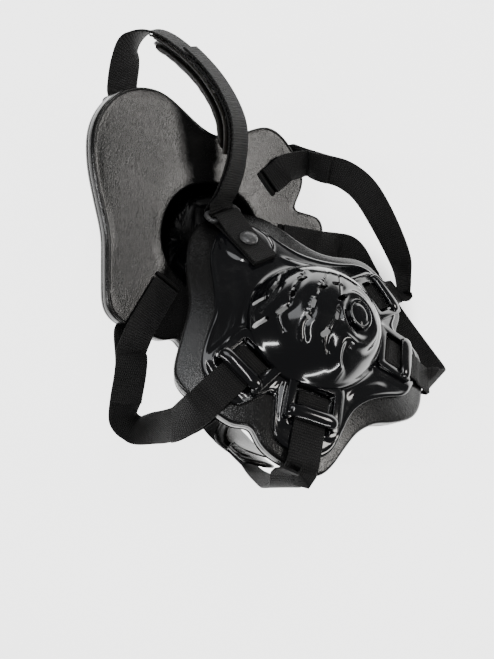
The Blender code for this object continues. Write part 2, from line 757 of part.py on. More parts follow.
# The crown strap: round the near ring, over the top, round the far ring.
crown = crown_path(NEAR, wrap(BAR_FAR, 165, 350))
crown += [(Vector(p), Vector(w)) for p, w in CROWN_MIDDLE]
crown += list(reversed(crown_path(FAR, wrap(BAR_FAR, 180 - 60, 270 + 20))))
crown_run = sample(crown)
ribbon("crown_strap", crown_run, WEB_WIDTH, WEB_THICK, WEBBING)
crown_total = length_of(crown_run)
middle_sample = crown_run[len(crown_run) // 2]
inside = 1.0 if middle_sample[2].dot(Vector((-50, 100, 70)) - middle_sample[0]) > 0 else -1.0
crown_return = sample(crown_path(NEAR, [(BAR_FAR - 3.1, RING_H + 2.0), (BAR_FAR - 1.8, RING_H + 6.0)])
                      + beside(crown_run, -inside * 2.6, 24.0, 128.0))
ribbon("crown_strap_return", crown_return, WEB_WIDTH, WEB_THICK, WEBBING)
ribbon("crown_pad_backing", sample(beside(crown_run, inside * 2.2, 52.0, crown_total - 58.0)), 25.0, 1.4, SLEEVE)
ribbon("crown_pad", sample(beside(crown_run, inside * 6.8, 54.0, crown_total - 60.0)), 25.0, 6.0, SLEEVE)

# Everything was drawn round the near guard; the row's frame is the middle of the
# whole piece's foot.
bpy.context.view_layer.update()
depsgraph = bpy.context.evaluated_depsgraph_get()
corners = []
for obj in bpy.data.objects:
    if not obj.hide_render:
        finished = obj.evaluated_get(depsgraph)
        mesh = finished.to_mesh()
        corners += [obj.matrix_world @ vertex.co for vertex in mesh.vertices]
        finished.to_mesh_clear()
shift = Vector((
    -(min(c.x for c in corners) + max(c.x for c in corners)) / 2,
    -(min(c.y for c in corners) + max(c.y for c in corners)) / 2,
    -min(c.z for c in corners),
))
for obj in bpy.data.objects:
    obj.data.transform(Matrix.Translation(shift))
    obj.data.update()

# Each moving piece turns about its own origin.
PIVOTS = {"crown_strap_return": NEAR.place(*crown_xy(NEAR, 0.0, BAR_FAR), RING_H)}
for obj in bpy.data.objects:
    if obj.name.startswith("near_") and not obj.hide_render:
        PIVOTS[obj.name] = Vector(SPREAD_AT)
for guard in (NEAR, FAR):
    snap = guard.place(*SNAP_AT, 5.0)
    PIVOTS[f"{guard.side}_crown_tab"] = snap
    PIVOTS[f"{guard.side}_snap_cap"] = snap
    PIVOTS[f"{guard.side}_crown_ring"] = guard.place(*crown_xy(guard, 0.0, BAR_NEAR), RING_H)
for key in ("front", "upper"):
    PIVOTS[f"far_{key}_strap_return"] = over_guard(FAR, key, [FOLD_AT])[0][0]
for name, place in PIVOTS.items():
    set_origin(bpy.data.objects[name], place * MM + shift)
print("frame shift mm", [round(c * 1000, 2) for c in shift])
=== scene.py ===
# A wrestling headgear: two shelled ear guards, webbing, crown sleeve and chin cup.
# Sizes are in millimetres on a guard (x forward-back, y to the crown, h out of the
# pad's skin) and are turned into the frame's metres by each guard.
import math
import bmesh
import bpy
import numpy as np
from mathutils import Euler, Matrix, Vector


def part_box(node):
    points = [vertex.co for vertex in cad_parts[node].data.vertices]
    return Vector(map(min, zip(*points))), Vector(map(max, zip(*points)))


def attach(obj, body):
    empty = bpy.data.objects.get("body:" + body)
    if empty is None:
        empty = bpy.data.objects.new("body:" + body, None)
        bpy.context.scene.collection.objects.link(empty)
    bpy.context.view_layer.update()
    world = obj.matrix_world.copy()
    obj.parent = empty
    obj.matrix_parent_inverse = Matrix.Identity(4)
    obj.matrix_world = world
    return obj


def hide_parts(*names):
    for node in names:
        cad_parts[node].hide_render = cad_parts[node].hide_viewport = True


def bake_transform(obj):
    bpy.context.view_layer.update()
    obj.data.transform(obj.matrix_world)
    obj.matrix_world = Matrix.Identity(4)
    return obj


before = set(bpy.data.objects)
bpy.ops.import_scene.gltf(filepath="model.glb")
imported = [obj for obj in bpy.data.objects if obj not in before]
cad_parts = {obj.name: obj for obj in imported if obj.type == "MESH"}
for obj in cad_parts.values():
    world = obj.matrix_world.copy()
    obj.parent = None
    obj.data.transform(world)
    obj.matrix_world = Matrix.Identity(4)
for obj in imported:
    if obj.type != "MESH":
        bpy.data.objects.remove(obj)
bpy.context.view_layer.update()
mm = 0.001
collection = bpy.context.scene.collection

padOutline = [
    (-84, 24), (-70, 38), (-57, 52), (-45, 72), (-35, 88), (-22, 102), (-7, 109),
    (10, 110), (25, 104), (36, 94), (42, 80), (47, 64), (54, 51), (66, 42),
    (80, 37), (92, 31), (98, 20), (99, 5), (96, -10), (90, -20), (79, -26),
    (72, -30), (75, -37), (82, -45), (82, -54), (73, -65), (62, -74), (51, -81),
    (38, -83), (20, -78), (6, -72), (-10, -70), (-25, -73), (-40, -77), (-51, -76),
    (-60, -66), (-68, -52), (-70, -42), (-69, -33), (-77, -27), (-82, -17),
    (-87, -5), (-91, 6), (-90, 16),
]
shellOutline = [
    (2, 94), (14, 92), (24, 82), (29, 66), (36, 52), (48, 41), (63, 33), (80, 27),
    (89, 18), (91, 2), (87, -12), (77, -20), (69, -25), (68, -31), (75, -40),
    (76, -50), (67, -59), (54, -65), (40, -68), (26, -63), (10, -58), (-4, -57),
    (-16, -60), (-28, -66), (-40, -69), (-50, -65), (-59, -54), (-62, -44),
    (-58, -36), (-50, -29), (-48, -25), (-51, -21), (-58, -20), (-67, -21),
    (-74, -13), (-77, 0), (-74, 13), (-63, 25), (-50, 36), (-42, 46), (-33, 61),
    (-24, 76), (-12, 88),
]


class Guard:
    # One ear guard: a shallow saucer, turned and moved to where it lies.
    bendRadius = 400.0
    twist = -0.0006

    def __init__(self, side, turn, at, flip):
        self.side = side
        self.flip = flip
        self.turn = np.array(Euler([math.radians(a) for a in turn], "XYZ").to_matrix())
        self.at = np.array(at, float)

    def place(self, x, y, h):
        x, y, h = np.broadcast_arrays(*(np.asarray(part, float) for part in (x, y, h)))
        slopeX = x / self.bendRadius + self.twist * y
        slopeY = y / self.bendRadius + self.twist * x
        drop = (x * x + y * y) / (2 * self.bendRadius) + self.twist * x * y
        long = np.sqrt(slopeX ** 2 + slopeY ** 2 + 1)
        point = np.stack([(x + slopeX / long * h) * self.flip, y + slopeY / long * h, -drop + h / long], -1)
        return point @ self.turn.T + self.at

    def aim(self, x, y, h, dx, dy):
        way = self.place(x + dx * 0.5, y + dy * 0.5, h) - self.place(x, y, h)
        return way / np.linalg.norm(way)


near = Guard("near", (-16.7, 33.0, 25.3), (39.0, 0.0, 88.0), 1.0)
far = Guard("far", (155.2, -20.3, -131.4), (-34.0, 65.0, 40.0), -1.0)
guards = (near, far)


def washerShift():
    # The frame's origin is under the whole piece, so the step from the guards' own
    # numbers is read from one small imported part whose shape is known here.
    around = np.arange(16) * math.pi / 8
    rim = [near.place(5.0 + r * np.cos(around), 74.0 + r * np.sin(around), h)
           for r in (5.2, 2.9) for h in (-1.2, -0.1)]
    rim = np.concatenate(rim) * mm
    low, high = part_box("near_snap_washer")
    return (np.array(low) + np.array(high)) / 2 - (rim.min(0) + rim.max(0)) / 2


rowShift = washerShift()
print("frame step mm", np.round(rowShift * 1000, 2))


def smooth(value, low, high):
    t = np.clip((value - low) / (high - low), 0, 1)
    return t * t * (3 - 2 * t)


def bell(value, width):
    return np.exp(-(value / width) ** 2)


def turned(centre, degrees, along, across):
    a = math.radians(degrees)
    return (centre[0] + along * np.cos(a) - across * np.sin(a),
            centre[1] + along * np.sin(a) + across * np.cos(a))


def inBuckle(centre, degrees, x, y):
    a = math.radians(degrees)
    dx, dy = x - centre[0], y - centre[1]
    return dx * math.cos(a) + dy * math.sin(a), -dx * math.sin(a) + dy * math.cos(a)


def roundBox(along, across, halfAlong, halfAcross, corner):
    # Distance outside a rectangle with round corners, less than 0 inside it.
    qa = np.abs(along) - halfAlong + corner
    qc = np.abs(across) - halfAcross + corner
    return np.hypot(np.maximum(qa, 0), np.maximum(qc, 0)) + np.minimum(np.maximum(qa, qc), 0) - corner


def between(a, b, c, d, t):
    # The smooth way from b to c, with a before them and d after.
    return 0.5 * (2 * b + (c - a) * t + (2 * a - 5 * b + 4 * c - d) * t ** 2
                  + (3 * b - a - 3 * c + d) * t ** 3)


def curve(points, steps=12):
    # A smooth line through points, as an array.
    p = np.array(points, float)
    p = np.vstack([2 * p[0] - p[1], p, 2 * p[-1] - p[-2]])
    t = np.linspace(0, 1, steps, endpoint=False)[:, None]
    line = [between(*four, t) for four in zip(p[:-3], p[1:-2], p[2:-1], p[3:])]
    return np.vstack(line + [p[-2:-1]])


def offLine(line, x, y):
    # Signed distance from a line (left of it is more than 0) and the share gone along it.
    point = np.stack([x, y], -1)
    best = np.full(x.shape, 1e9)
    signed = np.zeros(x.shape)
    gone = np.zeros(x.shape)
    for k in range(len(line) - 1):
        a, b = line[k], line[k + 1]
        edge = b - a
        t = np.clip(((point - a) @ edge) / (edge @ edge), 0, 1)
        away = point - a - t[..., None] * edge
        far2 = np.hypot(away[..., 0], away[..., 1])
        closer = far2 < best
        side = np.sign(edge[0] * away[..., 1] - edge[1] * away[..., 0])
        best = np.where(closer, far2, best)
        signed = np.where(closer, far2 * side, signed)
        gone = np.where(closer, (k + t) / (len(line) - 1), gone)
    return signed, gone


def reachOf(outline, centre, count, passes=1):
    # How far a closed outline lies from a centre, at even angles.
    angles = np.arange(count) * 2 * math.pi / count
    line = curve(list(outline) + [outline[0]], 6)[:-1] - np.array(centre)
    turns = np.unwrap(np.arctan2(line[:, 1], line[:, 0]))
    order = np.argsort(np.mod(turns, 2 * math.pi))
    turns = np.mod(turns, 2 * math.pi)[order]
    reach = np.interp(angles, turns, np.hypot(line[:, 0], line[:, 1])[order], period=2 * math.pi)
    width = max(3, count // 54)
    kernel = np.ones(width) / width
    for _ in range(passes):
        around = np.concatenate([reach[-width:], reach, reach[:width]])
        reach = np.convolve(around, kernel, "same")[width:-width]
    return reach


def addMesh(name, points, faces, material, uv=None, flip=False):
    mesh = bpy.data.meshes.new(name)
    mesh.from_pydata([tuple(p) for p in points], [], [f[::-1] for f in faces] if flip else faces)
    mesh.materials.append(material)
    if uv is not None:
        layer = mesh.uv_layers.new(name="weave")
        index = np.empty(len(mesh.loops), np.int32)
        mesh.loops.foreach_get("vertex_index", index)
        layer.data.foreach_set("uv", np.asarray(uv, np.float32)[index].ravel())
    mesh.shade_smooth()
    obj = bpy.data.objects.new(name, mesh)
    collection.objects.link(obj)
    return obj


def gridFaces(rows, columns, closeAcross, closeAlong=False):
    faces = []
    for r in range(rows if closeAlong else rows - 1):
        for c in range(columns if closeAcross else columns - 1):
            n, k = (c + 1) % columns, (r + 1) % rows
            faces.append((r * columns + c, r * columns + n, k * columns + n, k * columns + c))
    return faces


def endFaces(rows, columns):
    # The two flat ends of a closed tube.
    return [tuple(range(columns))[::-1], tuple((rows - 1) * columns + i for i in range(columns))]


def poleFaces(rows, columns):
    # Fans from the first and last rings to the two points that follow the rings.
    faces = []
    for i in range(columns):
        n, last = (i + 1) % columns, (rows - 1) * columns
        faces += [(rows * columns, n, i), (rows * columns + 1, last + i, last + n)]
    return faces


def toRow(points):
    return np.asarray(points) * mm + rowShift


def outward(obj):
    body = bmesh.new()
    body.from_mesh(obj.data)
    bmesh.ops.recalc_face_normals(body, faces=body.faces)
    body.to_mesh(obj.data)
    body.free()


def applied(obj):
    # The object as its modifiers leave it, as a plain mesh.
    graph = bpy.context.evaluated_depsgraph_get()
    mesh = bpy.data.meshes.new_from_object(obj.evaluated_get(graph))
    obj.modifiers.clear()
    old = obj.data
    obj.data = mesh
    bpy.data.meshes.remove(old)
    return obj


def joined(name, objects):
    # Several meshes as one piece.
    body = bmesh.new()
    for obj in objects:
        body.from_mesh(obj.data)
    mesh = bpy.data.meshes.new(name)
    body.to_mesh(mesh)
    body.free()
    mesh.materials.append(objects[0].data.materials[0])
    for obj in objects:
        bpy.data.objects.remove(obj, do_unlink=True)
    mesh.shade_smooth()
    result = bpy.data.objects.new(name, mesh)
    collection.objects.link(result)
    return result


class Value:
    # A socket's value, so that node maths reads as a plain expression.
    def __init__(self, shader, socket):
        self.shader = shader
        self.socket = socket

    def mathNode(self, operation, one, two):
        return self.shader.node("ShaderNodeMath", {"operation": operation}, {0: one, 1: two})

    def __add__(self, other):
        return self.mathNode("ADD", self, other)

    def __radd__(self, other):
        return self.mathNode("ADD", other, self)

    def __sub__(self, other):
        return self.mathNode("SUBTRACT", self, other)

    def __rsub__(self, other):
        return self.mathNode("SUBTRACT", other, self)

    def __mul__(self, other):
        return self.mathNode("MULTIPLY", self, other)

    def __rmul__(self, other):
        return self.mathNode("MULTIPLY", other, self)

    def __truediv__(self, other):
        return self.mathNode("DIVIDE", self, other)

    def __pow__(self, other):
        return self.mathNode("POWER", self, other)

    def __mod__(self, other):
        return self.mathNode("FLOORED_MODULO", self, other)


class Shader:
    def __init__(self, name, colour, roughness, **fixed):
        self.material = bpy.data.materials.new(name)
        self.material.use_nodes = True
        self.tree = self.material.node_tree
        self.surface = self.tree.nodes["Principled BSDF"]
        self.surface.inputs["Base Color"].default_value = (*colour, 1.0)
        self.surface.inputs["Roughness"].default_value = roughness
        for socket, value in fixed.items():
            self.surface.inputs[socket.replace("_", " ")].default_value = value

    def node(self, kind, settings=None, values=None, output=0):
        made = self.tree.nodes.new(kind)
        for key, value in (settings or {}).items():
            if key == "stops":
                ramp = made.color_ramp
                for place, stop in enumerate(value):
                    element = ramp.elements[place] if place < 2 else ramp.elements.new(stop[0])
                    element.position = stop[0]
                    element.color = (*stop[1], 1.0)
            else:
                setattr(made, key, value)
        for key, value in (values or {}).items():
            socket = made.inputs[key]
            if isinstance(value, Value):
                self.tree.links.new(value.socket, socket)
            else:
                socket.default_value = value
        return Value(self, made.outputs[output])

    def feed(self, socket, value):
        self.tree.links.new(value.socket, self.surface.inputs[socket])

    def place(self):
        return self.node("ShaderNodeTexCoord", output="Object")

    def noise(self, scale, detail=3.0, rough=0.55, where=None):
        return self.node("ShaderNodeTexNoise", None, {
            "Vector": where or self.place(), "Scale": scale, "Detail": detail, "Roughness": rough}, "Fac")

    def cells(self, scale, feature="DISTANCE_TO_EDGE", where=None):
        return self.node("ShaderNodeTexVoronoi", {"feature": feature},
                         {"Vector": where or self.place(), "Scale": scale}, "Distance")

    def span(self, value, low, high, start=0.0, end=1.0):
        return self.node("ShaderNodeMapRange", {"interpolation_type": "SMOOTHSTEP"}, {
            0: value, 1: low, 2: high, 3: start, 4: end})

    def blendColour(self, share, one, two):
        return self.node("ShaderNodeMix", {"data_type": "RGBA"}, {
            0: share, 6: (*one, 1.0) if isinstance(one, tuple) else one,
            7: (*two, 1.0) if isinstance(two, tuple) else two}, 2)

    def bump(self, height, distance, strength=1.0, below=None):
        values = {"Height": height, "Distance": distance, "Strength": strength}
        if below:
            values["Normal"] = below
        return self.node("ShaderNodeBump", None, values)


def glossPlastic():
    # Thin moulded shell: near black, wet gloss, faint orange peel, hairlines and dust.
    s = Shader("gloss shell", (0.004, 0.0042, 0.005), 0.1, IOR=1.5, Coat_Weight=0.3, Coat_Roughness=0.04)
    dust = s.span(s.noise(42.0, 5.0, 0.7), 0.5, 0.78)
    specks = s.span(s.cells(900.0, "F1"), 0.0, 0.16, 1.0, 0.0) * s.span(s.noise(130.0), 0.52, 0.6)
    stretched = s.node("ShaderNodeMapping", None, {
        "Vector": s.place(), "Rotation": (0.3, 0.5, 0.9), "Scale": (60.0, 1500.0, 300.0)})
    hairs = s.span(s.noise(1.0, 2.0, 0.5, stretched), 0.66, 0.72)
    s.feed("Roughness", 0.12 + dust * 0.1 + specks * 0.12 + hairs * 0.08)
    s.feed("Base Color", s.blendColour(
        dust * 0.4 + specks * 0.25, (0.0028, 0.003, 0.0038), (0.014, 0.014, 0.0135)))
    peel = s.bump(s.noise(210.0, 2.0, 0.4), 0.00006, 0.6)
    s.feed("Normal", s.bump(s.noise(26.0, 2.0, 0.5), 0.0004, 0.35, peel))
    return s.material


def grainedVinyl(name, colour, lift, grain=800.0, depth=0.00012, roughness=0.17):
    # Leather-grained skin: pebbles split by creases, worn a little shiny on their tops.
    s = Shader(name, colour, roughness, IOR=1.5, Specular_IOR_Level=0.4)
    warp = s.node("ShaderNodeVectorMath", {"operation": "MULTIPLY_ADD"}, {
        0: s.node("ShaderNodeTexNoise", None, {"Vector": s.place(), "Scale": 190.0}, "Color"),
        1: (0.0022, 0.0022, 0.0022), 2: s.place()})
    pebbles = s.span(s.cells(grain, "DISTANCE_TO_EDGE", warp), 0.0, 0.42)
    fine = s.noise(grain * 2.3, 3.0, 0.6)
    wear = s.span(s.noise(34.0, 4.0, 0.6), 0.42, 0.72)
    s.feed("Base Color", s.blendColour(pebbles * 0.5 + wear * 0.5, tuple(c * 0.55 for c in colour), lift))
    s.feed("Roughness", roughness + 0.08 - pebbles * 0.1 + fine * 0.06 - wear * 0.04)
    s.feed("Normal", s.bump(pebbles * 0.8 + fine * 0.2, depth, 0.45))
    return s.material


def wovenWebbing():
    # Ribbed weave on the strap's own map: mm across in U and mm along in V.
    s = Shader("webbing", (0.006, 0.006, 0.006), 0.8, Specular_IOR_Level=0.22)
    uv = s.node("ShaderNodeSeparateXYZ", None, {0: s.node("ShaderNodeUVMap", {"uv_map": "weave"})})
    across = uv
    along = Value(s, uv.socket.node.outputs[1])
    row = along / 1.65
    whole = s.node("ShaderNodeMath", {"operation": "FLOOR"}, {0: row})
    cellAcross = ((across / 1.32 + (whole % 2.0) * 0.5) % 1.0) * 2.0 - 1.0
    cellAlong = (row % 1.0) * 2.0 - 1.0
    thread = (1.0 - cellAcross * cellAcross) * (1.0 - cellAlong * cellAlong)
    fuzz = s.noise(2600.0, 2.0, 0.7)
    fade = s.span(s.noise(55.0, 3.0, 0.6), 0.35, 0.75)
    tone = thread * (0.5 + 0.35 * fade) + fuzz * 0.22
    s.feed("Base Color", s.blendColour(tone, (0.0012, 0.0012, 0.0013), (0.021, 0.0205, 0.02)))
    s.feed("Roughness", 0.55 + fuzz * 0.3)
    s.feed("Normal", s.bump(thread + fuzz * 0.25, 0.0005, 1.0))
    return s.material


def satinPlastic():
    s = Shader("satin cap", (0.06, 0.06, 0.062), 0.3, IOR=1.5)
    wear = s.span(s.noise(260.0, 4.0, 0.65), 0.45, 0.75)
    s.feed("Base Color", s.blendColour(wear, (0.05, 0.05, 0.051), (0.1, 0.1, 0.098)))
    s.feed("Roughness", 0.3 + wear * 0.12)
    s.feed("Normal", s.bump(s.noise(900.0, 3.0, 0.6), 0.00004, 0.6))
    return s.material


def hookPile():
    s = Shader("hook and loop", (0.008, 0.008, 0.008), 0.95, Specular_IOR_Level=0.2)
    hooks = s.span(s.cells(1500.0, "F1"), 0.1, 0.6, 1.0, 0.0)
    s.feed("Base Color", s.blendColour(hooks, (0.003, 0.003, 0.003), (0.02, 0.02, 0.02)))
    s.feed("Roughness", 0.98 - hooks * 0.2)
    s.feed("Normal", s.bump(hooks, 0.0005, 0.9))
    return s.material


gloss = glossPlastic()
skin = grainedVinyl("pad skin", (0.005, 0.005, 0.0051), (0.011, 0.0107, 0.0104))
sleeveSkin = grainedVinyl(
    "sleeve skin", (0.012, 0.0105, 0.0092), (0.032, 0.028, 0.024), 820.0, 0.0002, 0.26)
weave = wovenWebbing()
satin = satinPlastic()
pile = hookPile()
print("materials ready")


camera = bpy.data.objects.new("camera", bpy.data.cameras.new("camera"))
collection.objects.link(camera)
camera.location = Vector(rowShift) + Vector((0.0, 0.0, 0.415))
camera.data.sensor_fit = "VERTICAL"
camera.data.sensor_height = 36.0
camera.data.lens = 36.0 * 511.4 / 659.0
camera.data.clip_start = 0.01
bpy.context.scene.camera = camera

# Where the floor's painted glow fades, and where its painted shadow lies.
floorSizes = {"half": 1.6, "paintedGlow": 0.30, "dim": 0.95, "paintedShadowAt": (0.038, -0.044), "paintedShadowHalf": 0.062}


def glowingFloor():
    # A white table that glows by itself, a painted light: brightest round the piece, dimmer far off, and with
    # a painted shadow under the near guard.
    s = Shader("glowing floor", (0.86, 0.86, 0.855), 0.9, Emission_Strength=2.9)
    xyz = s.node("ShaderNodeSeparateXYZ", None, {0: s.place()})
    x, y = xyz, Value(s, xyz.socket.node.outputs[1])
    far2 = (x * x + y * y) ** 0.5
    sx, sy = floorSizes["paintedShadowAt"]
    under = ((x - sx) * (x - sx) + (y - sy) * (y - sy)) ** 0.5
    # Painted light: the floor's own glow, full round the piece and fading far off.
    paintedGlow = s.span(far2, floorSizes["paintedGlow"], floorSizes["dim"], 1.0, 0.16)
    # Painted shadow: a dark patch in the floor's glow under the near guard.
    paintedShadow = s.span(under, 0.8 * floorSizes["paintedShadowHalf"], 1.3 * floorSizes["paintedShadowHalf"], 0.0, 1.0)
    s.feed("Emission Color", s.blendColour(paintedGlow * paintedShadow, (0.0, 0.0, 0.0), (1.0, 1.0, 0.995)))
    return s.material


floor = addMesh("floor", [(x * floorSizes["half"], y * floorSizes["half"], 0.0)
                          for x, y in ((-1, -1), (1, -1), (1, 1), (-1, 1))], [(0, 1, 2, 3)], glowingFloor())

world = bpy.data.worlds.new("studio")
world.use_nodes = True
world.node_tree.nodes["Background"].inputs["Color"].default_value = (1.0, 1.0, 1.0, 1.0)
world.node_tree.nodes["Background"].inputs["Strength"].default_value = 0.13
bpy.context.scene.world = world


def softLight(name, at, aim, size, power, tint=(1.0, 1.0, 1.0)):
    lamp = bpy.data.lights.new(name, "AREA")
    lamp.shape = "RECTANGLE"
    lamp.size, lamp.size_y = size
    lamp.energy = power
    lamp.color = tint
    obj = bpy.data.objects.new(name, lamp)
    obj.location = at
    obj.rotation_euler = (Vector(aim) - Vector(at)).to_track_quat("-Z", "Y").to_euler()
    collection.objects.link(obj)


softLight("right window", (0.62, 0.13, 0.50), (0.0, 0.0, 0.05), (0.20, 0.22), 2.2, (1.0, 0.97, 0.93))
softLight("overhead strip", (0.12, 0.42, 0.9), (0.0, 0.0, 0.05), (0.04, 0.7), 3.0)
softLight("left strip", (-0.7, -0.1, 0.6), (0.0, 0.0, 0.05), (0.05, 0.6), 3.5)
softLight("ceiling panel", (-0.12, 0.72, 0.72), (0.0, 0.0, 0.06), (0.5, 0.4), 2.0, (0.95, 0.97, 1.0))
softLight("front strip", (0.3, -0.75, 0.6), (0.0, 0.0, 0.06), (0.5, 0.04), 2.5)
print("camera and lights ready")

shellSizes = {
    "base": 0.3, "thick": 2.0, "domeCentre": (6.0, -1.0), "domeHalf": (49.0, 44.0), "domeHeight": 28.0,
    "around": 432, "domeRings": 58, "flangeRings": 34, "snapAt": (5.0, 74.0), "snapBoss": 20.0,
    "emblemAt": (14.0, -12.0), "petalLift": 3.0, "petalWidth": 11.0,
}
buckles = {
    "front": ((-49.0, -1.0), 191.0), "chin": ((-30.0, -40.0), 224.0),
    "lower": ((49.0, -40.0), -50.0), "upper": ((69.0, -1.0), -2.0),
}
buckleSizes = {"half": 17.0, "window": 12.2, "inner": -12.5, "outer": 14.8, "slotAt": -5.0, "slotHalf": 2.2}
# Each petal's edge sweeps in from the dome's top and curls down towards its chin side.
petalEdges = [
    [(12, 42), (1, 36), (-13, 29), (-22, 24), (-30, 22), (-34, 14), (-33, 8)],
    [(22, 37), (12, 28), (0, 23), (-12, 17), (-18, 12), (-26, 10), (-29, 2), (-27, -4)],
    [(30, 31), (17, 18), (5, 12), (-7, 6), (-13, 1), (-20, -2), (-24, -9), (-22, -15)],
    [(33, 22), (22, 13), (11, 1), (1, -6), (-6, -10), (-13, -14), (-16, -21), (-12, -28)],
    [(36, 8), (33, -12), (24, -27), (10, -32), (0, -29), (-5, -24), (-9, -30), (-3, -38)],
]
vents = [
    (1, 36, 0), (-13, 29, 25), (-25, 26, -30), (-34, 14, -15),
    (0, 23, 5), (-12, 17, 40), (-23, 12, 0),
    (5, 12, 5), (-7, 6, 35), (-15, 0.5, -60),
    (16, 10, -25), (11, 1, 5), (1, -6, 40), (-12, -12, 5),
]
ventSizes = {"half": 3.9, "halfWidth": 1.55, "low": 2.5, "high": 40.0}
# On the far dome the vents sit further back and are cut at a slant, clear of the pad.
ventShift = {"near": (0.0, 0.0), "far": (24.0, -3.0)}
ventLean = {"near": (0.0, 0.0), "far": (0.38, -0.165)}


def domeShare(x, y):
    return np.hypot((x - shellSizes["domeCentre"][0]) / shellSizes["domeHalf"][0],
                    (y - shellSizes["domeCentre"][1]) / shellSizes["domeHalf"][1])


def plainDome(x, y):
    r = np.clip(domeShare(x, y), 0, 1)
    return shellSizes["domeHeight"] * (1 - r ** 2.6) ** 0.72


def domeDetail(x, y):
    # Petals that step up along their edges, the oval moulding round the boss and the
    # sweep that runs from it down the dome's rear side.
    r = domeShare(x, y)
    lift = np.zeros(x.shape)
    lines = [offLine(curve(edge, 6), x, y) for edge in petalEdges]
    for (signed, gone), (nextSigned, _) in zip(lines, lines[1:] + [(None, None)]):
        past = -signed - 1.5
        if nextSigned is None:
            share = past / 9.0
        else:
            share = past / np.maximum(past + np.maximum(nextSigned + 1.5, 0), 0.5)
        rib = smooth(past, -1.4, 2.4) * smooth(np.clip(1 - share, 0, 1), 0, 1) ** 0.8
        groove = 0.8 * bell(past + 2.2, 1.9)
        ends = smooth(gone, 0.03, 0.3) * (1 - smooth(gone, 0.84, 0.95))
        lift += (rib * shellSizes["petalLift"] - groove) * ends
    ex, ey = shellSizes["emblemAt"]
    a = math.radians(-35)
    u = ((x - ex) * math.cos(a) + (y - ey) * math.sin(a)) / 10.0
    v = (-(x - ex) * math.sin(a) + (y - ey) * math.cos(a)) / 13.0
    oval = np.hypot(u, v)
    keep = smooth(oval, 0.95, 1.5)
    lift = lift * keep + 1.0 * bell(oval - 1.12, 0.16) - 0.5 * bell(oval - 0.85, 0.2)
    sweep = bell(oval - 1.62 - 0.1 * np.sin(np.arctan2(v, u)), 0.11) * smooth(u, -0.2, 0.8)
    lift += 0.7 * sweep
    return lift * (1 - smooth(r, 0.86, 0.985))


flangeCreases = [
    [(-10, 58), (-20, 44), (-33, 33), (-48, 20), (-57, 16)],
    [(17, 56), (26, 44), (40, 33), (56, 22)],
    [(-14, 66), (-28, 50), (-42, 40), (-56, 24)],
    [(-8, -50), (4, -49), (18, -52), (30, -57)],
]


def shellHeight(x, y, rim):
    # Height of the shell's outer face over the pad; rim is the way in from its edge.
    r = domeShare(x, y)
    h = shellSizes["base"] + shellSizes["thick"] + plainDome(x, y) + domeDetail(x, y)
    h = h + 1.5 * np.exp(-np.maximum(r - 1, 0) * 45 / 2.0) * (r > 1) + 1.5 * smooth(r, 0.93, 1.0) * (r <= 1)
    sx, sy = shellSizes["snapAt"]
    boss = np.hypot(x - sx, y - sy)
    h += 1.2 * (1 - smooth(boss, 15.5, shellSizes["snapBoss"])) * (r > 1)
    for centre, degrees in buckles.values():
        along, across = inBuckle(centre, degrees, x, y)
        skirt = roundBox(along - 1.4, across, 17.0, 20.0, 6.0)
        h += 1.1 * (1 - smooth(skirt, -2.0, 2.2)) * (r > 1.0)
        floorHere = roundBox(along - 3.0, across, 13.5, 12.4, 1.0)
        h -= 0.9 * (1 - smooth(floorHere, -0.3, 0.9)) * (r > 1.0)
    for line in flangeCreases:
        signed, gone = offLine(curve(line, 5), x, y)
        h += 0.7 * bell(signed, 2.3) * smooth(gone, 0.0, 0.25) * (1 - smooth(gone, 0.75, 1.0)) * (r > 1.02)
    h += 0.45 * bell(rim - 2.0, 1.3) * (r > 1.0)
    return h


def shellBody(guard):
    s = shellSizes
    count = s["around"]
    angle = np.arange(count) * 2 * math.pi / count
    cx, cy = s["domeCentre"]
    reach = reachOf(shellOutline, s["domeCentre"], count)
    inner = 1.0 / np.hypot(np.cos(angle) / s["domeHalf"][0], np.sin(angle) / s["domeHalf"][1])
    rings = []

    def ring(radius, under, lower=None, inset=0.0):
        x, y = cx + radius * np.cos(angle), cy + radius * np.sin(angle)
        if under:
            share = np.maximum(radius / np.maximum(inner - s["thick"] + 0.2, 1e-6), 0)
            bent = s["domeHeight"] * (1 - np.clip(share, 0, 1) ** 2.6) ** 0.72
            ribs = domeDetail(x, y) * 0.6
            h = s["base"] + bent + ribs * (share < 1) - (0 if lower is None else lower)
        else:
            h = shellHeight(x, y, reach - radius) - (0 if lower is None else lower)
        rings.append(guard.place(x, y, h))

    for k in range(1, s["domeRings"] + 1):
        ring(inner * math.sin(0.5 * math.pi * k / s["domeRings"]) ** 0.85, False)
    for k in range(1, s["flangeRings"] + 1):
        ring(inner + (reach - 0.9 - inner) * k / s["flangeRings"], False)
    x, y = cx + reach * np.cos(angle), cy + reach * np.sin(angle)
    edge = shellHeight(x, y, reach * 0 + 0.9)
    for inset, share in ((0.45, 0.93), (0.12, 0.78), (0.0, 0.55), (0.0, 0.25), (0.2, 0.0)):
        rx, ry = cx + (reach - inset) * np.cos(angle), cy + (reach - inset) * np.sin(angle)
        rings.append(guard.place(rx, ry, s["base"] + (edge - s["base"]) * share))
    for k in range(9, 0, -1):
        ring((inner - 1.8) + (reach - 0.9 - inner + 1.8) * k / 9, True)
    for k in range(28, 0, -1):
        ring((inner - 1.8) * math.sin(0.5 * math.pi * k / 28) ** 0.85, True)
    points = [p for r in rings for p in r]
    faces = gridFaces(len(rings), count, True)
    centre = np.array([0.0])
    top = guard.place(cx + centre, cy + centre, shellHeight(cx + centre, cy + centre, centre + 50))[0]
    ribs = float(domeDetail(cx + centre, cy + centre)[0]) * 0.6
    low = guard.place(cx, cy, s["base"] + s["domeHeight"] + ribs)
    points += [top, low]
    faces += poleFaces(len(rings), count)
    body = addMesh(f"{guard.side} shell body", toRow(points), faces, gloss)
    outward(body)
    return body


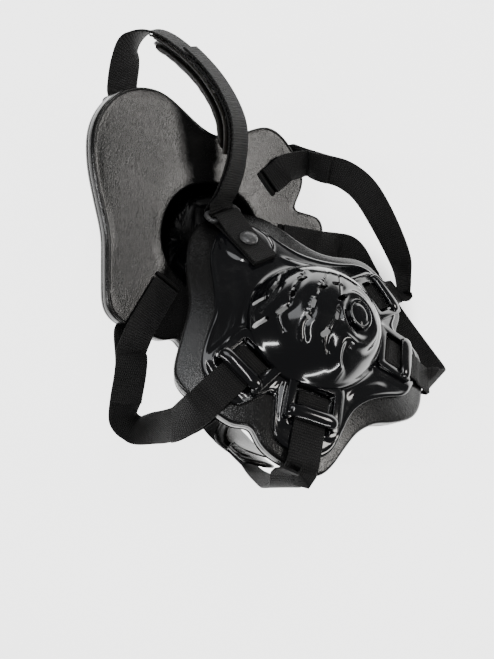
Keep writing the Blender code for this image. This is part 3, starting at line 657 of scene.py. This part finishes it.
def prism(guard, outline, low, high, material, bevel=0.0, name="prism", lean=(0.0, 0.0)):
    # A block over an outline of (x, y), its edges rounded before it is bent.
    body = bmesh.new()
    lower = [body.verts.new((x, y, low)) for x, y in outline]
    face = body.faces.new(lower)
    raised = bmesh.ops.extrude_face_region(body, geom=[face])
    for v in raised["geom"]:
        if isinstance(v, bmesh.types.BMVert):
            v.co.z = high
    bmesh.ops.recalc_face_normals(body, faces=body.faces)
    if bevel:
        edges = [e for e in body.edges if e.calc_face_angle(0.0) > 0.3]
        bmesh.ops.bevel(body, geom=edges, offset=bevel, segments=4, profile=0.5,
                        affect="EDGES", clamp_overlap=True)
    co = np.array([v.co for v in body.verts])
    co[:, :2] += np.outer(co[:, 2] - 28.0, lean)
    for v, p in zip(body.verts, toRow(guard.place(co[:, 0], co[:, 1], co[:, 2]))):
        v.co = p
    bmesh.ops.recalc_face_normals(body, faces=body.faces)
    mesh = bpy.data.meshes.new(name)
    body.to_mesh(mesh)
    body.free()
    mesh.materials.append(material)
    obj = bpy.data.objects.new(name, mesh)
    collection.objects.link(obj)
    return obj


def buckleFrame(guard, centre, degrees):
    # A three-sided frame, open towards the pad's edge, with a fat round bar across it.
    b = buckleSizes
    wall = b["half"] - b["window"]
    outline = []
    corner = 3.6
    cx = b["inner"] + corner
    for cy, start in ((-b["half"] + corner, 270), (b["half"] - corner, 180)):
        for k in range(6):
            a = math.radians(start - 18 * k)
            outline.append((cx + corner * math.cos(a), cy + corner * math.sin(a)))
    tip = wall / 2
    for side in (1, -1):
        mid = side * (b["half"] - tip)
        for k in range(7):
            a = math.radians(90 - 30 * k)
            outline.append((b["outer"] - tip + tip * math.cos(a), mid + tip * math.sin(a)))
        if side == 1:
            for turn, inCorner in ((0, 1), (90, -1)):
                for k in range(6):
                    a = math.radians(90 + turn + 18 * k)
                    outline.append((b["inner"] + 4.6 + 2.0 * (1 + math.cos(a)),
                                    inCorner * (b["window"] - 2.0) + 2.0 * math.sin(a)))
    outline = [turned(centre, degrees, a, c) for a, c in outline]
    frameBody = prism(guard, outline, 0.8, 6.6, gloss, 1.9, "buckle frame")
    rows = []
    across = np.linspace(-1, 1, 41)
    for k in range(28):
        t = 2 * math.pi * k / 28
        shape = np.clip(1 - np.abs(across) ** 7, 0, 1) ** 0.5
        along = 9.4 + 4.3 * math.cos(t) * (0.3 + 0.7 * shape)
        fatness = 1 if math.sin(t) > 0 else 0.75
        h = 7.2 + 2.9 * math.sin(t) * (0.25 + 0.75 * shape) * fatness - 1.1 * across ** 4
        x, y = turned(centre, degrees, along, across * (b["half"] - 1.0))
        rows.append(guard.place(x, y, h))
    points = np.array(rows).transpose(1, 0, 2).reshape(-1, 3)
    faces = gridFaces(len(across), 28, True) + endFaces(len(across), 28)
    bar = addMesh("buckle bar", toRow(points), faces, gloss)
    outward(bar)
    return [frameBody, bar]


def stadium(centre, degrees, half, halfWidth, steps=7):
    outline = []
    for side in (1, -1):
        for k in range(steps + 1):
            a = math.radians(-90 + 180 * k / steps)
            outline.append(turned(centre, degrees, side * (half - halfWidth + halfWidth * math.cos(a)),
                                  side * halfWidth * math.sin(a)))
    return outline


def cutter(guard, blocks, name):
    tool = joined(name, [prism(guard, outline, low, high, gloss, lean=lean)
                         for outline, low, high, lean in blocks])
    tool.hide_render = True
    tool.display_type = "WIRE"
    return tool


def cut(obj, tool):
    boolean = obj.modifiers.new("cut", "BOOLEAN")
    boolean.operation = "DIFFERENCE"
    boolean.solver = "EXACT"
    boolean.object = tool
    applied(obj)


def slotBlocks(low, high):
    b = buckleSizes
    return [([turned(centre, degrees, b["slotAt"] + a * b["slotHalf"], c * 12.0)
              for a, c in ((-1, -1), (1, -1), (1, 1), (-1, 1))], low, high, (0.0, 0.0))
            for centre, degrees in buckles.values()]


def crispShade(obj, degrees=38):
    obj.data.shade_smooth()
    obj.data.set_sharp_from_angle(angle=math.radians(degrees))


for guard in guards:
    body = shellBody(guard)
    v = ventSizes
    moveX, moveY = ventShift[guard.side]
    holes = []
    for k, (x, y, a) in enumerate(vents):
        if guard is far and k in (11, 12):
            continue  # there the oval boss is in the way
        outline = stadium((x + moveX, y + moveY), a, v["half"] if k != 9 else 2.2, v["halfWidth"])
        holes.append((outline, v["low"], v["high"], ventLean[guard.side]))
    tool = cutter(guard, holes + slotBlocks(-2.0, 5.5), "shell cuts")
    cut(body, tool)
    bpy.data.objects.remove(tool, do_unlink=True)
    parts = [body]
    for centre, degrees in buckles.values():
        parts += buckleFrame(guard, centre, degrees)
    shell = joined(f"{guard.side}_shell", parts)
    crispShade(shell)
    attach(shell, f"{guard.side}_guard")
    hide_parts(f"{guard.side}_outer_shell")
    print(guard.side, "shell", len(shell.data.polygons), "faces")


def turnedPiece(guard, name, centre, profile, material, count=64, stretch=(1.0, 1.0), spin=0.0):
    # A turned form from (radius, h) pairs, first and last on the axis.
    t = np.arange(count) * 2 * math.pi / count
    rings = []
    for radius, h in profile[1:-1]:
        x, y = turned(centre, spin, radius * stretch[0] * np.cos(t), radius * stretch[1] * np.sin(t))
        rings.append(guard.place(x, y, h))
    points = [p for r in rings for p in r]
    faces = gridFaces(len(rings), count, True)
    points += [guard.place(*centre, profile[0][1]), guard.place(*centre, profile[-1][1])]
    faces += poleFaces(len(rings), count)
    obj = addMesh(name, toRow(points), faces, material)
    outward(obj)
    return obj


def roundedProfile(points, corner=0.35, steps=4):
    # (radius, h) pairs with each inner corner turned into a short arc.
    line = [np.array(points[0], float)]
    for a, b, c in zip(points[:-2], points[1:-1], points[2:]):
        a, b, c = np.array(a, float), np.array(b, float), np.array(c, float)
        one, two = a - b, c - b
        cutBack = min(corner, np.linalg.norm(one) * 0.45, np.linalg.norm(two) * 0.45)
        start, end = b + one / np.linalg.norm(one) * cutBack, b + two / np.linalg.norm(two) * cutBack
        for k in range(steps + 1):
            t = k / steps
            line.append((1 - t) ** 2 * start + 2 * t * (1 - t) * b + t * t * end)
    line.append(np.array(points[-1], float))
    return [tuple(p) for p in line]


for guard in guards:
    ex, ey = shellSizes["emblemAt"]
    rise = float(plainDome(np.array([ex]), np.array([ey]))[0]) + shellSizes["base"] + shellSizes["thick"]
    # A plain oval: a raised rim round a low crowned middle.
    boss = turnedPiece(guard, f"{guard.side}_oval_boss", (ex, ey), roundedProfile([
        (0, rise + 0.5), (1.0, rise - 0.4), (1.0, rise + 1.7), (0.93, rise + 2.1), (0.8, rise + 1.9),
        (0.74, rise + 1.2), (0.5, rise + 1.9), (0, rise + 2.2)], 0.05), gloss, 72, (7.0, 10.0), -35.0)
    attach(boss, f"{guard.side}_guard")
    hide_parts(f"{guard.side}_emblem_boss")


padSizes = {"thick": 10.0, "linerThick": 0.8, "earRadius": 40.0, "earCentre": (3.0, -2.0), "around": 300}


def padRings(guard, name, section, material, inner):
    # Rings from (share of the way out, inset from the edge, h, way in from the ear hole).
    s = padSizes
    count = s["around"]
    angle = np.arange(count) * 2 * math.pi / count
    reach = reachOf(padOutline, s["earCentre"], count)
    rings = []
    for share, inset, h, dent in section:
        radius = inner + dent + (reach - inset - inner - dent) * share
        x = s["earCentre"][0] + radius * np.cos(angle)
        y = s["earCentre"][1] + radius * np.sin(angle)
        # Low soft swells, as foam takes under a stretched skin.
        swell = 0.22 * np.sin(x / 17.0 + 0.6) * np.sin(y / 13.0 + 1.1) * (1 if 0.1 < share < 1.0 else 0)
        rings.append(guard.place(x, y, h + (swell if h > -5 else -swell)))
    points = toRow([p for r in rings for p in r])
    obj = addMesh(name, points, gridFaces(len(rings), count, True, True), material)
    outward(obj)
    return obj


def padSection():
    t = padSizes["thick"]
    section = [(0.0, 0, -2.0, 0.0), (0.0, 0, -0.8, 0.2), (0.0, 0, -0.15, 0.8)]
    section += [(k / 22, 3.4, -0.02, 1.6) for k in range(23)]
    section += [(1.0, 2.2, 0.0, 0), (1.0, 1.3, -0.15, 0), (1.0, 0.6, -0.6, 0),
                (1.0, 0.2, -1.3, 0), (1.0, 0.0, -2.2, 0)]
    # A welt line runs round the side wall, a third of the way down.
    section += [(1.0, 0.05, -3.2, 0), (1.0, 0.55, -3.55, 0), (1.0, 0.1, -3.9, 0), (1.0, 0.0, -5.0, 0)]
    section += [(1.0, 0.0, -t + 2.6, 0), (1.0, 0.15, -t + 1.7, 0),
                (1.0, 0.6, -t + 0.8, 0), (1.0, 1.4, -t + 0.2, 0)]
    section += [(k / 16, 2.6, -t + 0.02, 1.4) for k in range(16, -1, -1)]
    section += [(0.0, 0, -t + 0.3, 0.5), (0.0, 0, -t + 1.0, 0.0)]
    return section


def linerSection():
    top = -padSizes["thick"] - 0.1
    low = top - padSizes["linerThick"]
    section = [(k / 20, 1.2, top, 0.4) for k in range(21)]
    # Its edge is turned down into a fine bead.
    section += [(1.0, 0.35, top + 0.15, 0), (1.0, 0.0, top - 0.25, 0),
                (1.0, 0.15, low, 0), (1.0, 0.7, low - 0.25, 0)]
    section += [(1.0, 1.25, low - 0.2, 0), (1.0, 1.7, low + 0.12, 0), (1.0, 2.4, low + 0.05, 0)]
    section += [(k / 20, 3.2, low, 1.2) for k in range(20, -1, -1)]
    section += [(0.0, 0, low + 0.1, 0.4), (0.0, 0, low + 0.45, 0.1)]
    return section


for guard in guards:
    slots = cutter(guard, slotBlocks(-16.0, 3.0), "pad slots")
    pad = padRings(guard, f"{guard.side}_pad", padSection(), skin, padSizes["earRadius"])
    liner = padRings(guard, f"{guard.side}_inner_skin", linerSection(), skin, padSizes["earRadius"] + 0.5)
    for piece, node in ((pad, "foam_pad"), (liner, "skin_liner")):
        cut(piece, slots)
        crispShade(piece, 45)
        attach(piece, f"{guard.side}_guard")
        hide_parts(f"{guard.side}_{node}")
    bpy.data.objects.remove(slots, do_unlink=True)
print("pads ready")


webSizes = {"width": 20.0, "thick": 1.5, "step": 1.1}


def sampled(path, step):
    # Points, across and up along smoothed (centre, across) pairs. A third number keeps
    # the rows slanted along that across, as where the webbing folds on the bias.
    centres = np.array([entry[0] for entry in path], float)
    skews = [entry[2] if len(entry) > 2 else 0.0 for entry in path]
    sides = [np.array(path[0][1], float)]
    for entry in path[1:]:
        side = np.array(entry[1], float)
        sides.append(side if side @ sides[-1] >= 0 else -side)
    sides = np.array([s / np.linalg.norm(s) for s in sides])
    ends = np.vstack([2 * centres[0] - centres[1], centres, 2 * centres[-1] - centres[-2]])
    points, widths, slants = [], [], []
    for i in range(1, len(ends) - 2):
        a, b, c, d = ends[i - 1:i + 3]
        count = max(1, int(np.linalg.norm(c - b) / step))
        for k in range(count):
            t = k / count
            points.append(between(a, b, c, d, t))
            widths.append(sides[i - 1] * (1 - t) + sides[i] * t)
            slants.append(skews[i - 1] * (1 - t) + skews[i] * t)
    points = np.array(points + [centres[-1]])
    widths = np.array(widths + [sides[-1]])
    slants = np.array(slants + [skews[-1]])[:, None]
    ahead = np.gradient(points, axis=0)
    ahead /= np.linalg.norm(ahead, axis=1)[:, None]
    slip = (widths * ahead).sum(1)[:, None]
    square = widths - ahead * slip
    size = np.linalg.norm(square, axis=1)[:, None]
    ups = np.cross(ahead, square / size)
    return points, (square + ahead * slip * slants) / size, ups


def lengths(points):
    return np.concatenate([[0], np.cumsum(np.linalg.norm(np.diff(points, axis=0), axis=1))])


def beside(run, offset, start, end, spacing=5.0):
    # A stretch of a run between two distances along it, moved along its up.
    points, widths, ups = run
    gone = lengths(points)
    end = min(end, gone[-1])
    want = np.linspace(start, end, max(2, round((end - start) / spacing)) + 1)
    at = [np.stack([np.interp(want, gone, a[:, k]) for k in range(3)], -1) for a in (points, widths, ups)]
    up = at[2] / np.linalg.norm(at[2], axis=1)[:, None]
    return list(zip(at[0] + up * offset, at[1]))


def strip(name, run, width, thick, material, columns=15, slack=0.0):
    # A flat band with rounded edges, its own map in millimetres, and a little play.
    points, widths, ups = run
    gone = lengths(points)
    half, t = width / 2, thick / 2
    across = []
    lift = []
    for c in np.linspace(-1, 1, columns):
        across.append(c * (half - t))
        lift.append(t)
    for a in (65, 35, 0, -35, -65):
        across.append(half - t + t * math.cos(math.radians(a)))
        lift.append(t * math.sin(math.radians(a)))
    for c in np.linspace(1, -1, columns):
        across.append(c * (half - t))
        lift.append(-t)
    for a in (245, 215, 180, 145, 115):
        across.append(-half + t + t * math.cos(math.radians(a)))
        lift.append(t * math.sin(math.radians(a)))
    across, lift = np.array(across), np.array(lift)
    rng = np.random.default_rng(2)
    phase = rng.uniform(0, 6.28, 4)
    wave = slack * (np.sin(gone / 9.0 + phase[0])[:, None] * np.sin(across / half * 1.6 + phase[1])[None]
                    + 0.5 * np.sin(gone / 5.3 + phase[2])[:, None])
    body = points[:, None] + widths[:, None] * across[None, :, None]
    body = body + ups[:, None] * (lift[None] + wave)[..., None]
    rows, cols = body.shape[:2]
    uv = np.stack([np.broadcast_to(across, (rows, cols)), np.broadcast_to(gone[:, None], (rows, cols))], -1)
    faces = gridFaces(rows, cols, True) + endFaces(rows, cols)
    obj = addMesh(name, toRow(body.reshape(-1, 3)), faces, material, uv.reshape(-1, 2))
    outward(obj)
    crispShade(obj, 55)
    return obj


def overGuard(guard, key, stations):
    centre, degrees = buckles[key]
    a = math.radians(degrees)
    path = []
    for along, h in stations:
        x, y = turned(centre, degrees, along, 0)
        path.append((guard.place(x, y, h), guard.aim(x, y, h, -math.sin(a), math.cos(a))))
    return path


downSlot = [(-3.1, 3.45), (-4.9, 1.0), (-5.2, -4.0), (-5.1, -8.6)]
underTurn = [(-4.2, -11.4), (-2.2, -12.8)]
# How far the webbing runs to the pad's edge and to the shell's own edge.
padEdge = {"front": 42.0, "chin": 42.0, "lower": 38.0, "upper": 34.0}
shellEdge = {"front": 29.0, "chin": 35.0, "lower": 24.0, "upper": 23.0}
# How far each returned end runs past the pad's edge, along the main run.
returnPast = {"near": {"front": 20.0}, "far": {"front": 32.0, "chin": 12.0, "lower": 38.0, "upper": 22.0}}
middles = {
    "front": [
        ((-43, -55, 117), (-0.2, 0.8, -0.5)), ((-59, -62, 93), (-0.3, 0.8, -0.5)),
        ((-74, -66, 76), (0.1, 0.8, -0.6)), ((-81, -58, 79), (0.75, 0.5, -0.4)),
        ((-78, -44, 85), (1.0, 0.1, -0.2)), ((-74, -22, 88), (0.97, -0.2, -0.2))],
    "upper": [
        ((121, 29, 18), (0.2, -0.4, 0.85)), ((119, 45, 22), (0.3, 0.2, 0.9)),
        ((113, 60, 28), (0.5, 0.35, 0.78)), ((99, 85, 34), (0.7, 0.45, 0.55)),
        ((86, 103, 38), (0.65, 0.65, 0.4)), ((72, 114, 38), (0.2, 0.95, 0.25)),
        ((58, 121, 31), (0.0, 1.0, 0.3)), ((48, 129, 21), (-0.3, 0.9, 0.4))],
    "lower": [
        ((130, -36.5, 51), (0.6, 0.8, -0.1), 1.0), ((136, -37.2, 45), (0.67, 0.74, 0.0), 1.0),
        ((138.3, -35, 38), (0.67, 0.74, 0.0), 1.0), ((137, -29.5, 31), (0.67, 0.74, 0.0), 0.8),
        ((130, -17, 24), (0.7, 0.65, 0.1), 0.3), ((115, 9, 12), (0.75, 0.6, 0.1)),
        ((96, 41, 5), (0.8, 0.6, 0.1)), ((81, 64, 6.5), (0.75, 0.6, 0.1))],
    "chin": [
        ((23, -80, 131), (0.9, -0.3, -0.3)), ((22, -90, 120), (0.9, -0.2, -0.4)),
        ((18, -97, 96), (0.85, 0.0, -0.45)), ((12, -101, 66), (0.8, -0.1, -0.6)),
        ((4, -102, 38), (0.62, -0.3, -0.7)), ((-9, -95, 19), (0.58, -0.3, -0.75)),
        ((-23, -80, 17), (0.6, -0.25, -0.75)), ((-32, -61, 22), (0.72, -0.1, -0.65)),
        ((-34, -42, 35), (0.85, 0.0, -0.52))],
}


def strapEnd(guard, key):
    stations = list(reversed(underTurn)) + list(reversed(downSlot))
    stations += [(0.5, 3.75), (5.0, 3.65), (12.0, 3.6), (18.0, 3.6)]
    stations += [(shellEdge[key], 3.4), (shellEdge[key] + 4.0, 1.6), (padEdge[key], 1.0)]
    return overGuard(guard, key, stations)


def bridging(obj, run):
    # Webbing that joins the guards has its transform baked into its mesh.
    points = toRow(run[0])
    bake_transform(obj)


runs = {}
for key, middle in middles.items():
    runs[key] = sampled(strapEnd(near, key) + middle + list(reversed(strapEnd(far, key))), webSizes["step"])
    band = strip(f"{key}_webbing", runs[key], webSizes["width"], webSizes["thick"], weave)
    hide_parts(f"{key}_strap")
    bridging(band, runs[key])
print("webbing runs", {key: round(lengths(run[0])[-1]) for key, run in runs.items()})


def returnPath(guard, key):
    # The returned end: under the pad, and then beside the main run.
    run = runs[key] if guard is near else (runs[key][0][::-1], runs[key][1][::-1], -runs[key][2][::-1])
    cx, cy = turned(buckles[key][0], buckles[key][1], 12.0, 0.0)
    inward = guard.place(cx, cy, 2.0) - guard.place(cx, cy, 3.0)
    at = overGuard(guard, key, [(12.0, 3.35)])[0][0]
    nearest = int(np.argmin(np.linalg.norm(run[0] - at, axis=1)))
    sign = 1.0 if run[2][nearest] @ inward > 0 else -1.0
    reach = padEdge[key]
    under = [(-0.4, -13.0), (8.0, -13.1), (reach - 14, -13.2), (reach - 5, -13.3)]
    past = returnPast[guard.side].get(key, 0.0)
    if past == 0.0:
        return overGuard(guard, key, under)
    if (guard.side, key) == ("far", "upper"):
        under = [(-0.4, -13.5), (8.0, -14.5), (16.0, -16.0)]
    start = reach + 38.0
    return overGuard(guard, key, under) + beside(run, sign * 3.4, start, start + past, 3.0)


returnBodies = {("far", "front"): "front_return_body", ("far", "upper"): "upper_return_body"}
for guard in guards:
    for key in buckles:
        run = sampled(returnPath(guard, key), webSizes["step"])
        tail = strip(f"{guard.side}_{key}_tail", run, webSizes["width"], webSizes["thick"], weave)
        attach(tail, returnBodies.get((guard.side, key), f"{guard.side}_guard"))
        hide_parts(f"{guard.side}_{key}_strap_return")


crownSizes = {"near": 24.0, "far": 33.0, "ringHalf": 13.5, "ringBar": 3.0, "ringH": 6.6, "wrap": 3.3}
crownTurn = {"near": 0.0, "far": -20.0}
crownMiddle = [
    ((-14, 97, 64), (0.62, 0.25, -0.72)), ((-8, 115, 71), (0.5, 0.2, -0.84)),
    ((-8, 138, 78), (0.5, 0.2, -0.84)), ((-21, 163, 81), (0.45, 0.3, -0.84)),
    ((-42, 184, 83), (0.35, 0.45, -0.8)), ((-60, 193, 84), (0.35, 0.5, -0.78)),
    ((-74, 186, 84), (0.5, 0.5, -0.7)), ((-79, 170, 84), (0.72, 0.42, -0.55)),
]


def crownXY(guard, across, along):
    a = math.radians(crownTurn[guard.side])
    sx, sy = shellSizes["snapAt"]
    return (sx + across * np.cos(a) - along * np.sin(a), sy + across * np.sin(a) + along * np.cos(a))


def crownPath(guard, stations):
    a = math.radians(crownTurn[guard.side])
    path = []
    for along, h in stations:
        x, y = crownXY(guard, 0.0, along)
        path.append((guard.place(x, y, h), guard.aim(x, y, h, math.cos(a), math.sin(a))))
    return path


def wrapped(bar, start, end, steps=4):
    c = crownSizes
    angles = np.radians(np.linspace(start, end, steps + 1))
    return [(bar + c["wrap"] * math.cos(a), c["ringH"] + c["wrap"] * math.sin(a)) for a in angles]


for guard in guards:
    c = crownSizes
    stations = [(-19.0, 3.45), (-6.0, 3.45), (6.0, 3.45), (16.0, 3.5)] + wrapped(c["near"], -90, 90)
    stations += [(16.0, 7.6), (8.0, 5.8), (-6.0, 5.6), (-19.0, 5.6)]
    tab = strip(f"{guard.side}_tab", sampled(crownPath(guard, stations), 0.8), 20.0, 1.5, weave)
    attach(tab, f"{guard.side}_crown_tab_body")
    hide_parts(f"{guard.side}_crown_tab")

    # The ring: a round section swept round a rectangle with soft corners.
    corner = 3.0
    halfAcross, low, high = c["ringHalf"] - c["ringBar"] / 2, c["near"], c["far"]
    line = []
    side = halfAcross - corner
    for cx, cy, start in ((side, high - corner, 0), (-side, high - corner, 90),
                          (-side, low + corner, 180), (side, low + corner, 270)):
        for k in range(9):
            a = math.radians(start + 90 * k / 8)
            line.append((cx + corner * math.cos(a), cy + corner * math.sin(a)))
    line = np.array(line)
    way = np.roll(line, -1, 0) - np.roll(line, 1, 0)
    way /= np.linalg.norm(way, axis=1)[:, None]
    out = np.stack([way[:, 1], -way[:, 0]], -1)
    rings = []
    for k in range(20):
        t = 2 * math.pi * k / 20
        round1 = math.copysign(abs(math.cos(t)) ** 0.75, math.cos(t)) * c["ringBar"] / 2
        round2 = math.copysign(abs(math.sin(t)) ** 0.75, math.sin(t)) * c["ringBar"] / 2
        p = line + out * round1
        x, y = crownXY(guard, p[:, 0], p[:, 1])
        rings.append(guard.place(x, y, c["ringH"] + round2))
    points = np.array(rings).transpose(1, 0, 2).reshape(-1, 3)
    ring = addMesh(f"{guard.side}_ring", toRow(points), gridFaces(len(line), 20, True, True), satin)
    outward(ring)
    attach(ring, f"{guard.side}_ring_body")
    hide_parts(f"{guard.side}_crown_ring")

    cap = turnedPiece(guard, f"{guard.side}_snap", shellSizes["snapAt"], roundedProfile([
        (0, -1.4), (2.3, -1.4), (2.3, 6.85), (5.6, 6.85), (6.2, 7.1), (6.2, 7.7), (5.5, 8.6), (4.2, 9.25),
        (2.4, 9.7), (0, 9.85)], 0.3), satin, 72)
    crispShade(cap, 50)
    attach(cap, f"{guard.side}_crown_tab_body")
    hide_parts(f"{guard.side}_snap_cap")

crownRun = sampled(crownPath(near, wrapped(crownSizes["far"], 165, 350)) + crownMiddle
                   + list(reversed(crownPath(far, wrapped(crownSizes["far"], 120, 290)))), webSizes["step"])
crownTotal = lengths(crownRun[0])[-1]
half = len(crownRun[0]) // 2
inside = 1.0 if crownRun[2][half] @ (np.array([-50, 100, 70]) - crownRun[0][half]) > 0 else -1.0
band = strip("crown_webbing", crownRun, 20.0, 1.5, weave)
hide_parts("crown_strap")
bridging(band, crownRun)

ch = crownSizes
tailStart = [(ch["far"] - 3.1, ch["ringH"] + 2.0), (ch["far"] - 1.8, ch["ringH"] + 6.0)]
tailRun = sampled(crownPath(near, tailStart) + beside(crownRun, -inside * 2.6, 24.0, 128.0), webSizes["step"])
tail = strip("crown_tail", tailRun, 20.0, 1.5, weave)
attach(tail, "crown_return_body")
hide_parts("crown_strap_return")

sleeveSizes = {"width": 25.0, "thick": 6.0, "from": 54.0, "stop": 60.0, "lift": 6.8}


def sleeve(name, run, width, thick, material, wrinkle, endRound=9.0):
    # A stuffed flat tube: crowned faces, pinched seams, gathered where it bends.
    points, widths, ups = run
    gone = lengths(points)
    total = gone[-1]
    ahead = np.gradient(points, axis=0)
    ahead /= np.linalg.norm(ahead, axis=1)[:, None]
    turning = np.linalg.norm(np.gradient(ahead, axis=0), axis=1) / np.gradient(gone)
    turning = np.convolve(turning, np.ones(9) / 9, "same")
    tight = np.clip(turning / 0.05, 0, 1)
    sections = 48
    body = []
    t = np.arange(sections) * 2 * math.pi / sections
    for i in range(len(points)):
        endShare = min(gone[i], total - gone[i]) / endRound
        fit = math.sqrt(max(1 - (1 - min(endShare, 1)) ** 2, 0.0004))
        u = np.sign(np.cos(t)) * np.abs(np.cos(t)) ** 0.75
        v = np.sign(np.sin(t)) * np.abs(np.sin(t)) ** 0.9
        fold = np.sin(gone[i] / 1.5 + 1.8 * np.cos(t) + 0.8 * math.sin(gone[i] / 6))
        fold = fold * wrinkle * (0.25 + 0.9 * tight[i]) * (v * inside > -0.2) * np.abs(v) ** 0.5
        ripple = 0.25 * math.sin(gone[i] / 7.5) + 0.18 * math.sin(gone[i] / 3.1 + 1)
        wide = width / 2 * (0.86 + 0.14 * fit) * (1 + 0.02 * ripple)
        high = thick / 2 * fit * (0.86 + 0.1 * ripple)
        body.append(points[i] + widths[i] * (u * wide * (fit if endShare < 1 else 1))[:, None]
                    + ups[i] * (v * (high + fold * fit))[:, None])
    body = np.array(body)
    rows = len(body)
    faces = gridFaces(rows, sections, True) + endFaces(rows, sections)
    obj = addMesh(name, toRow(body.reshape(-1, 3)), faces, material)
    outward(obj)
    return obj


s = sleeveSizes
padRun = sampled(beside(crownRun, inside * s["lift"], s["from"], crownTotal - s["stop"]), 0.7)
crownPad = sleeve("crown_sleeve", padRun, s["width"], s["thick"], sleeveSkin, 0.55)
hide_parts("crown_pad")
bridging(crownPad, padRun)
backRun = sampled(beside(crownRun, inside * 2.2, 52.0, crownTotal - 58.0), 1.2)
backing = strip("crown_sleeve_back", backRun, 25.0, 1.3, sleeveSkin, slack=0.08)
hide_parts("crown_pad_backing")
bridging(backing, backRun)
print("crown ready")


cupSizes = {"at": 0.56, "half": 30.0, "width": 36.0, "thick": 4.4, "away": 5.6}


def cupShape(name, run, width, thick, material, power=3.2):
    # An oval pad, thick in the middle and thin at its rolled edge.
    points, widths, ups = run
    gone = lengths(points)
    total = gone[-1]
    sections = 56
    t = np.arange(sections) * 2 * math.pi / sections
    body = []
    for i in range(len(points)):
        along = 2 * gone[i] / total - 1
        plan = max(1 - abs(along) ** power, 0.0009) ** (1 / power)
        u = np.sign(np.cos(t)) * np.abs(np.cos(t)) ** 0.6
        v = np.sign(np.sin(t)) * np.abs(np.sin(t)) ** 0.8
        high = thick / 2 * min(1.0, 0.35 + plan)
        body.append(points[i] + widths[i] * (u * width / 2 * plan)[:, None]
                    + ups[i] * (v * high * min(1, plan * 2))[:, None])
    body = np.array(body)
    rows = len(body)
    faces = gridFaces(rows, sections, True) + endFaces(rows, sections)
    obj = addMesh(name, toRow(body.reshape(-1, 3)), faces, material)
    outward(obj)
    return obj


chinRun = runs["chin"]
chinTotal = lengths(chinRun[0])[-1]
toHead = 1.0 if chinRun[2][len(chinRun[0]) // 2][1] > 0 else -1.0
c = cupSizes
cupRun = sampled(beside(chinRun, toHead * c["away"], chinTotal * c["at"] - c["half"],
                        chinTotal * c["at"] + c["half"], 10.0), 0.8)
cup = cupShape("chin_pad", cupRun, c["width"], c["thick"], skin)
inset = slice(8, -8)
liningRun = (cupRun[0][inset] + cupRun[2][inset] * toHead * 4.9, cupRun[1][inset], cupRun[2][inset])
lining = cupShape("chin_pad_lining", liningRun, 30.0, 1.4, sleeveSkin)
for piece, node, slotName in ((cup, "chin_cup", "grained_vinyl"),
                              (lining, "chin_cup_lining", "sleeve_vinyl")):
    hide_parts(node)
    points = toRow(chinRun[0])
    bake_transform(piece)
print("chin cup ready")


for name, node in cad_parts.items():
    if name.endswith("snap_washer"):
        node.material_slots[0].material = satin
    if name.endswith("hook_patch"):
        node.material_slots[0].material = pile
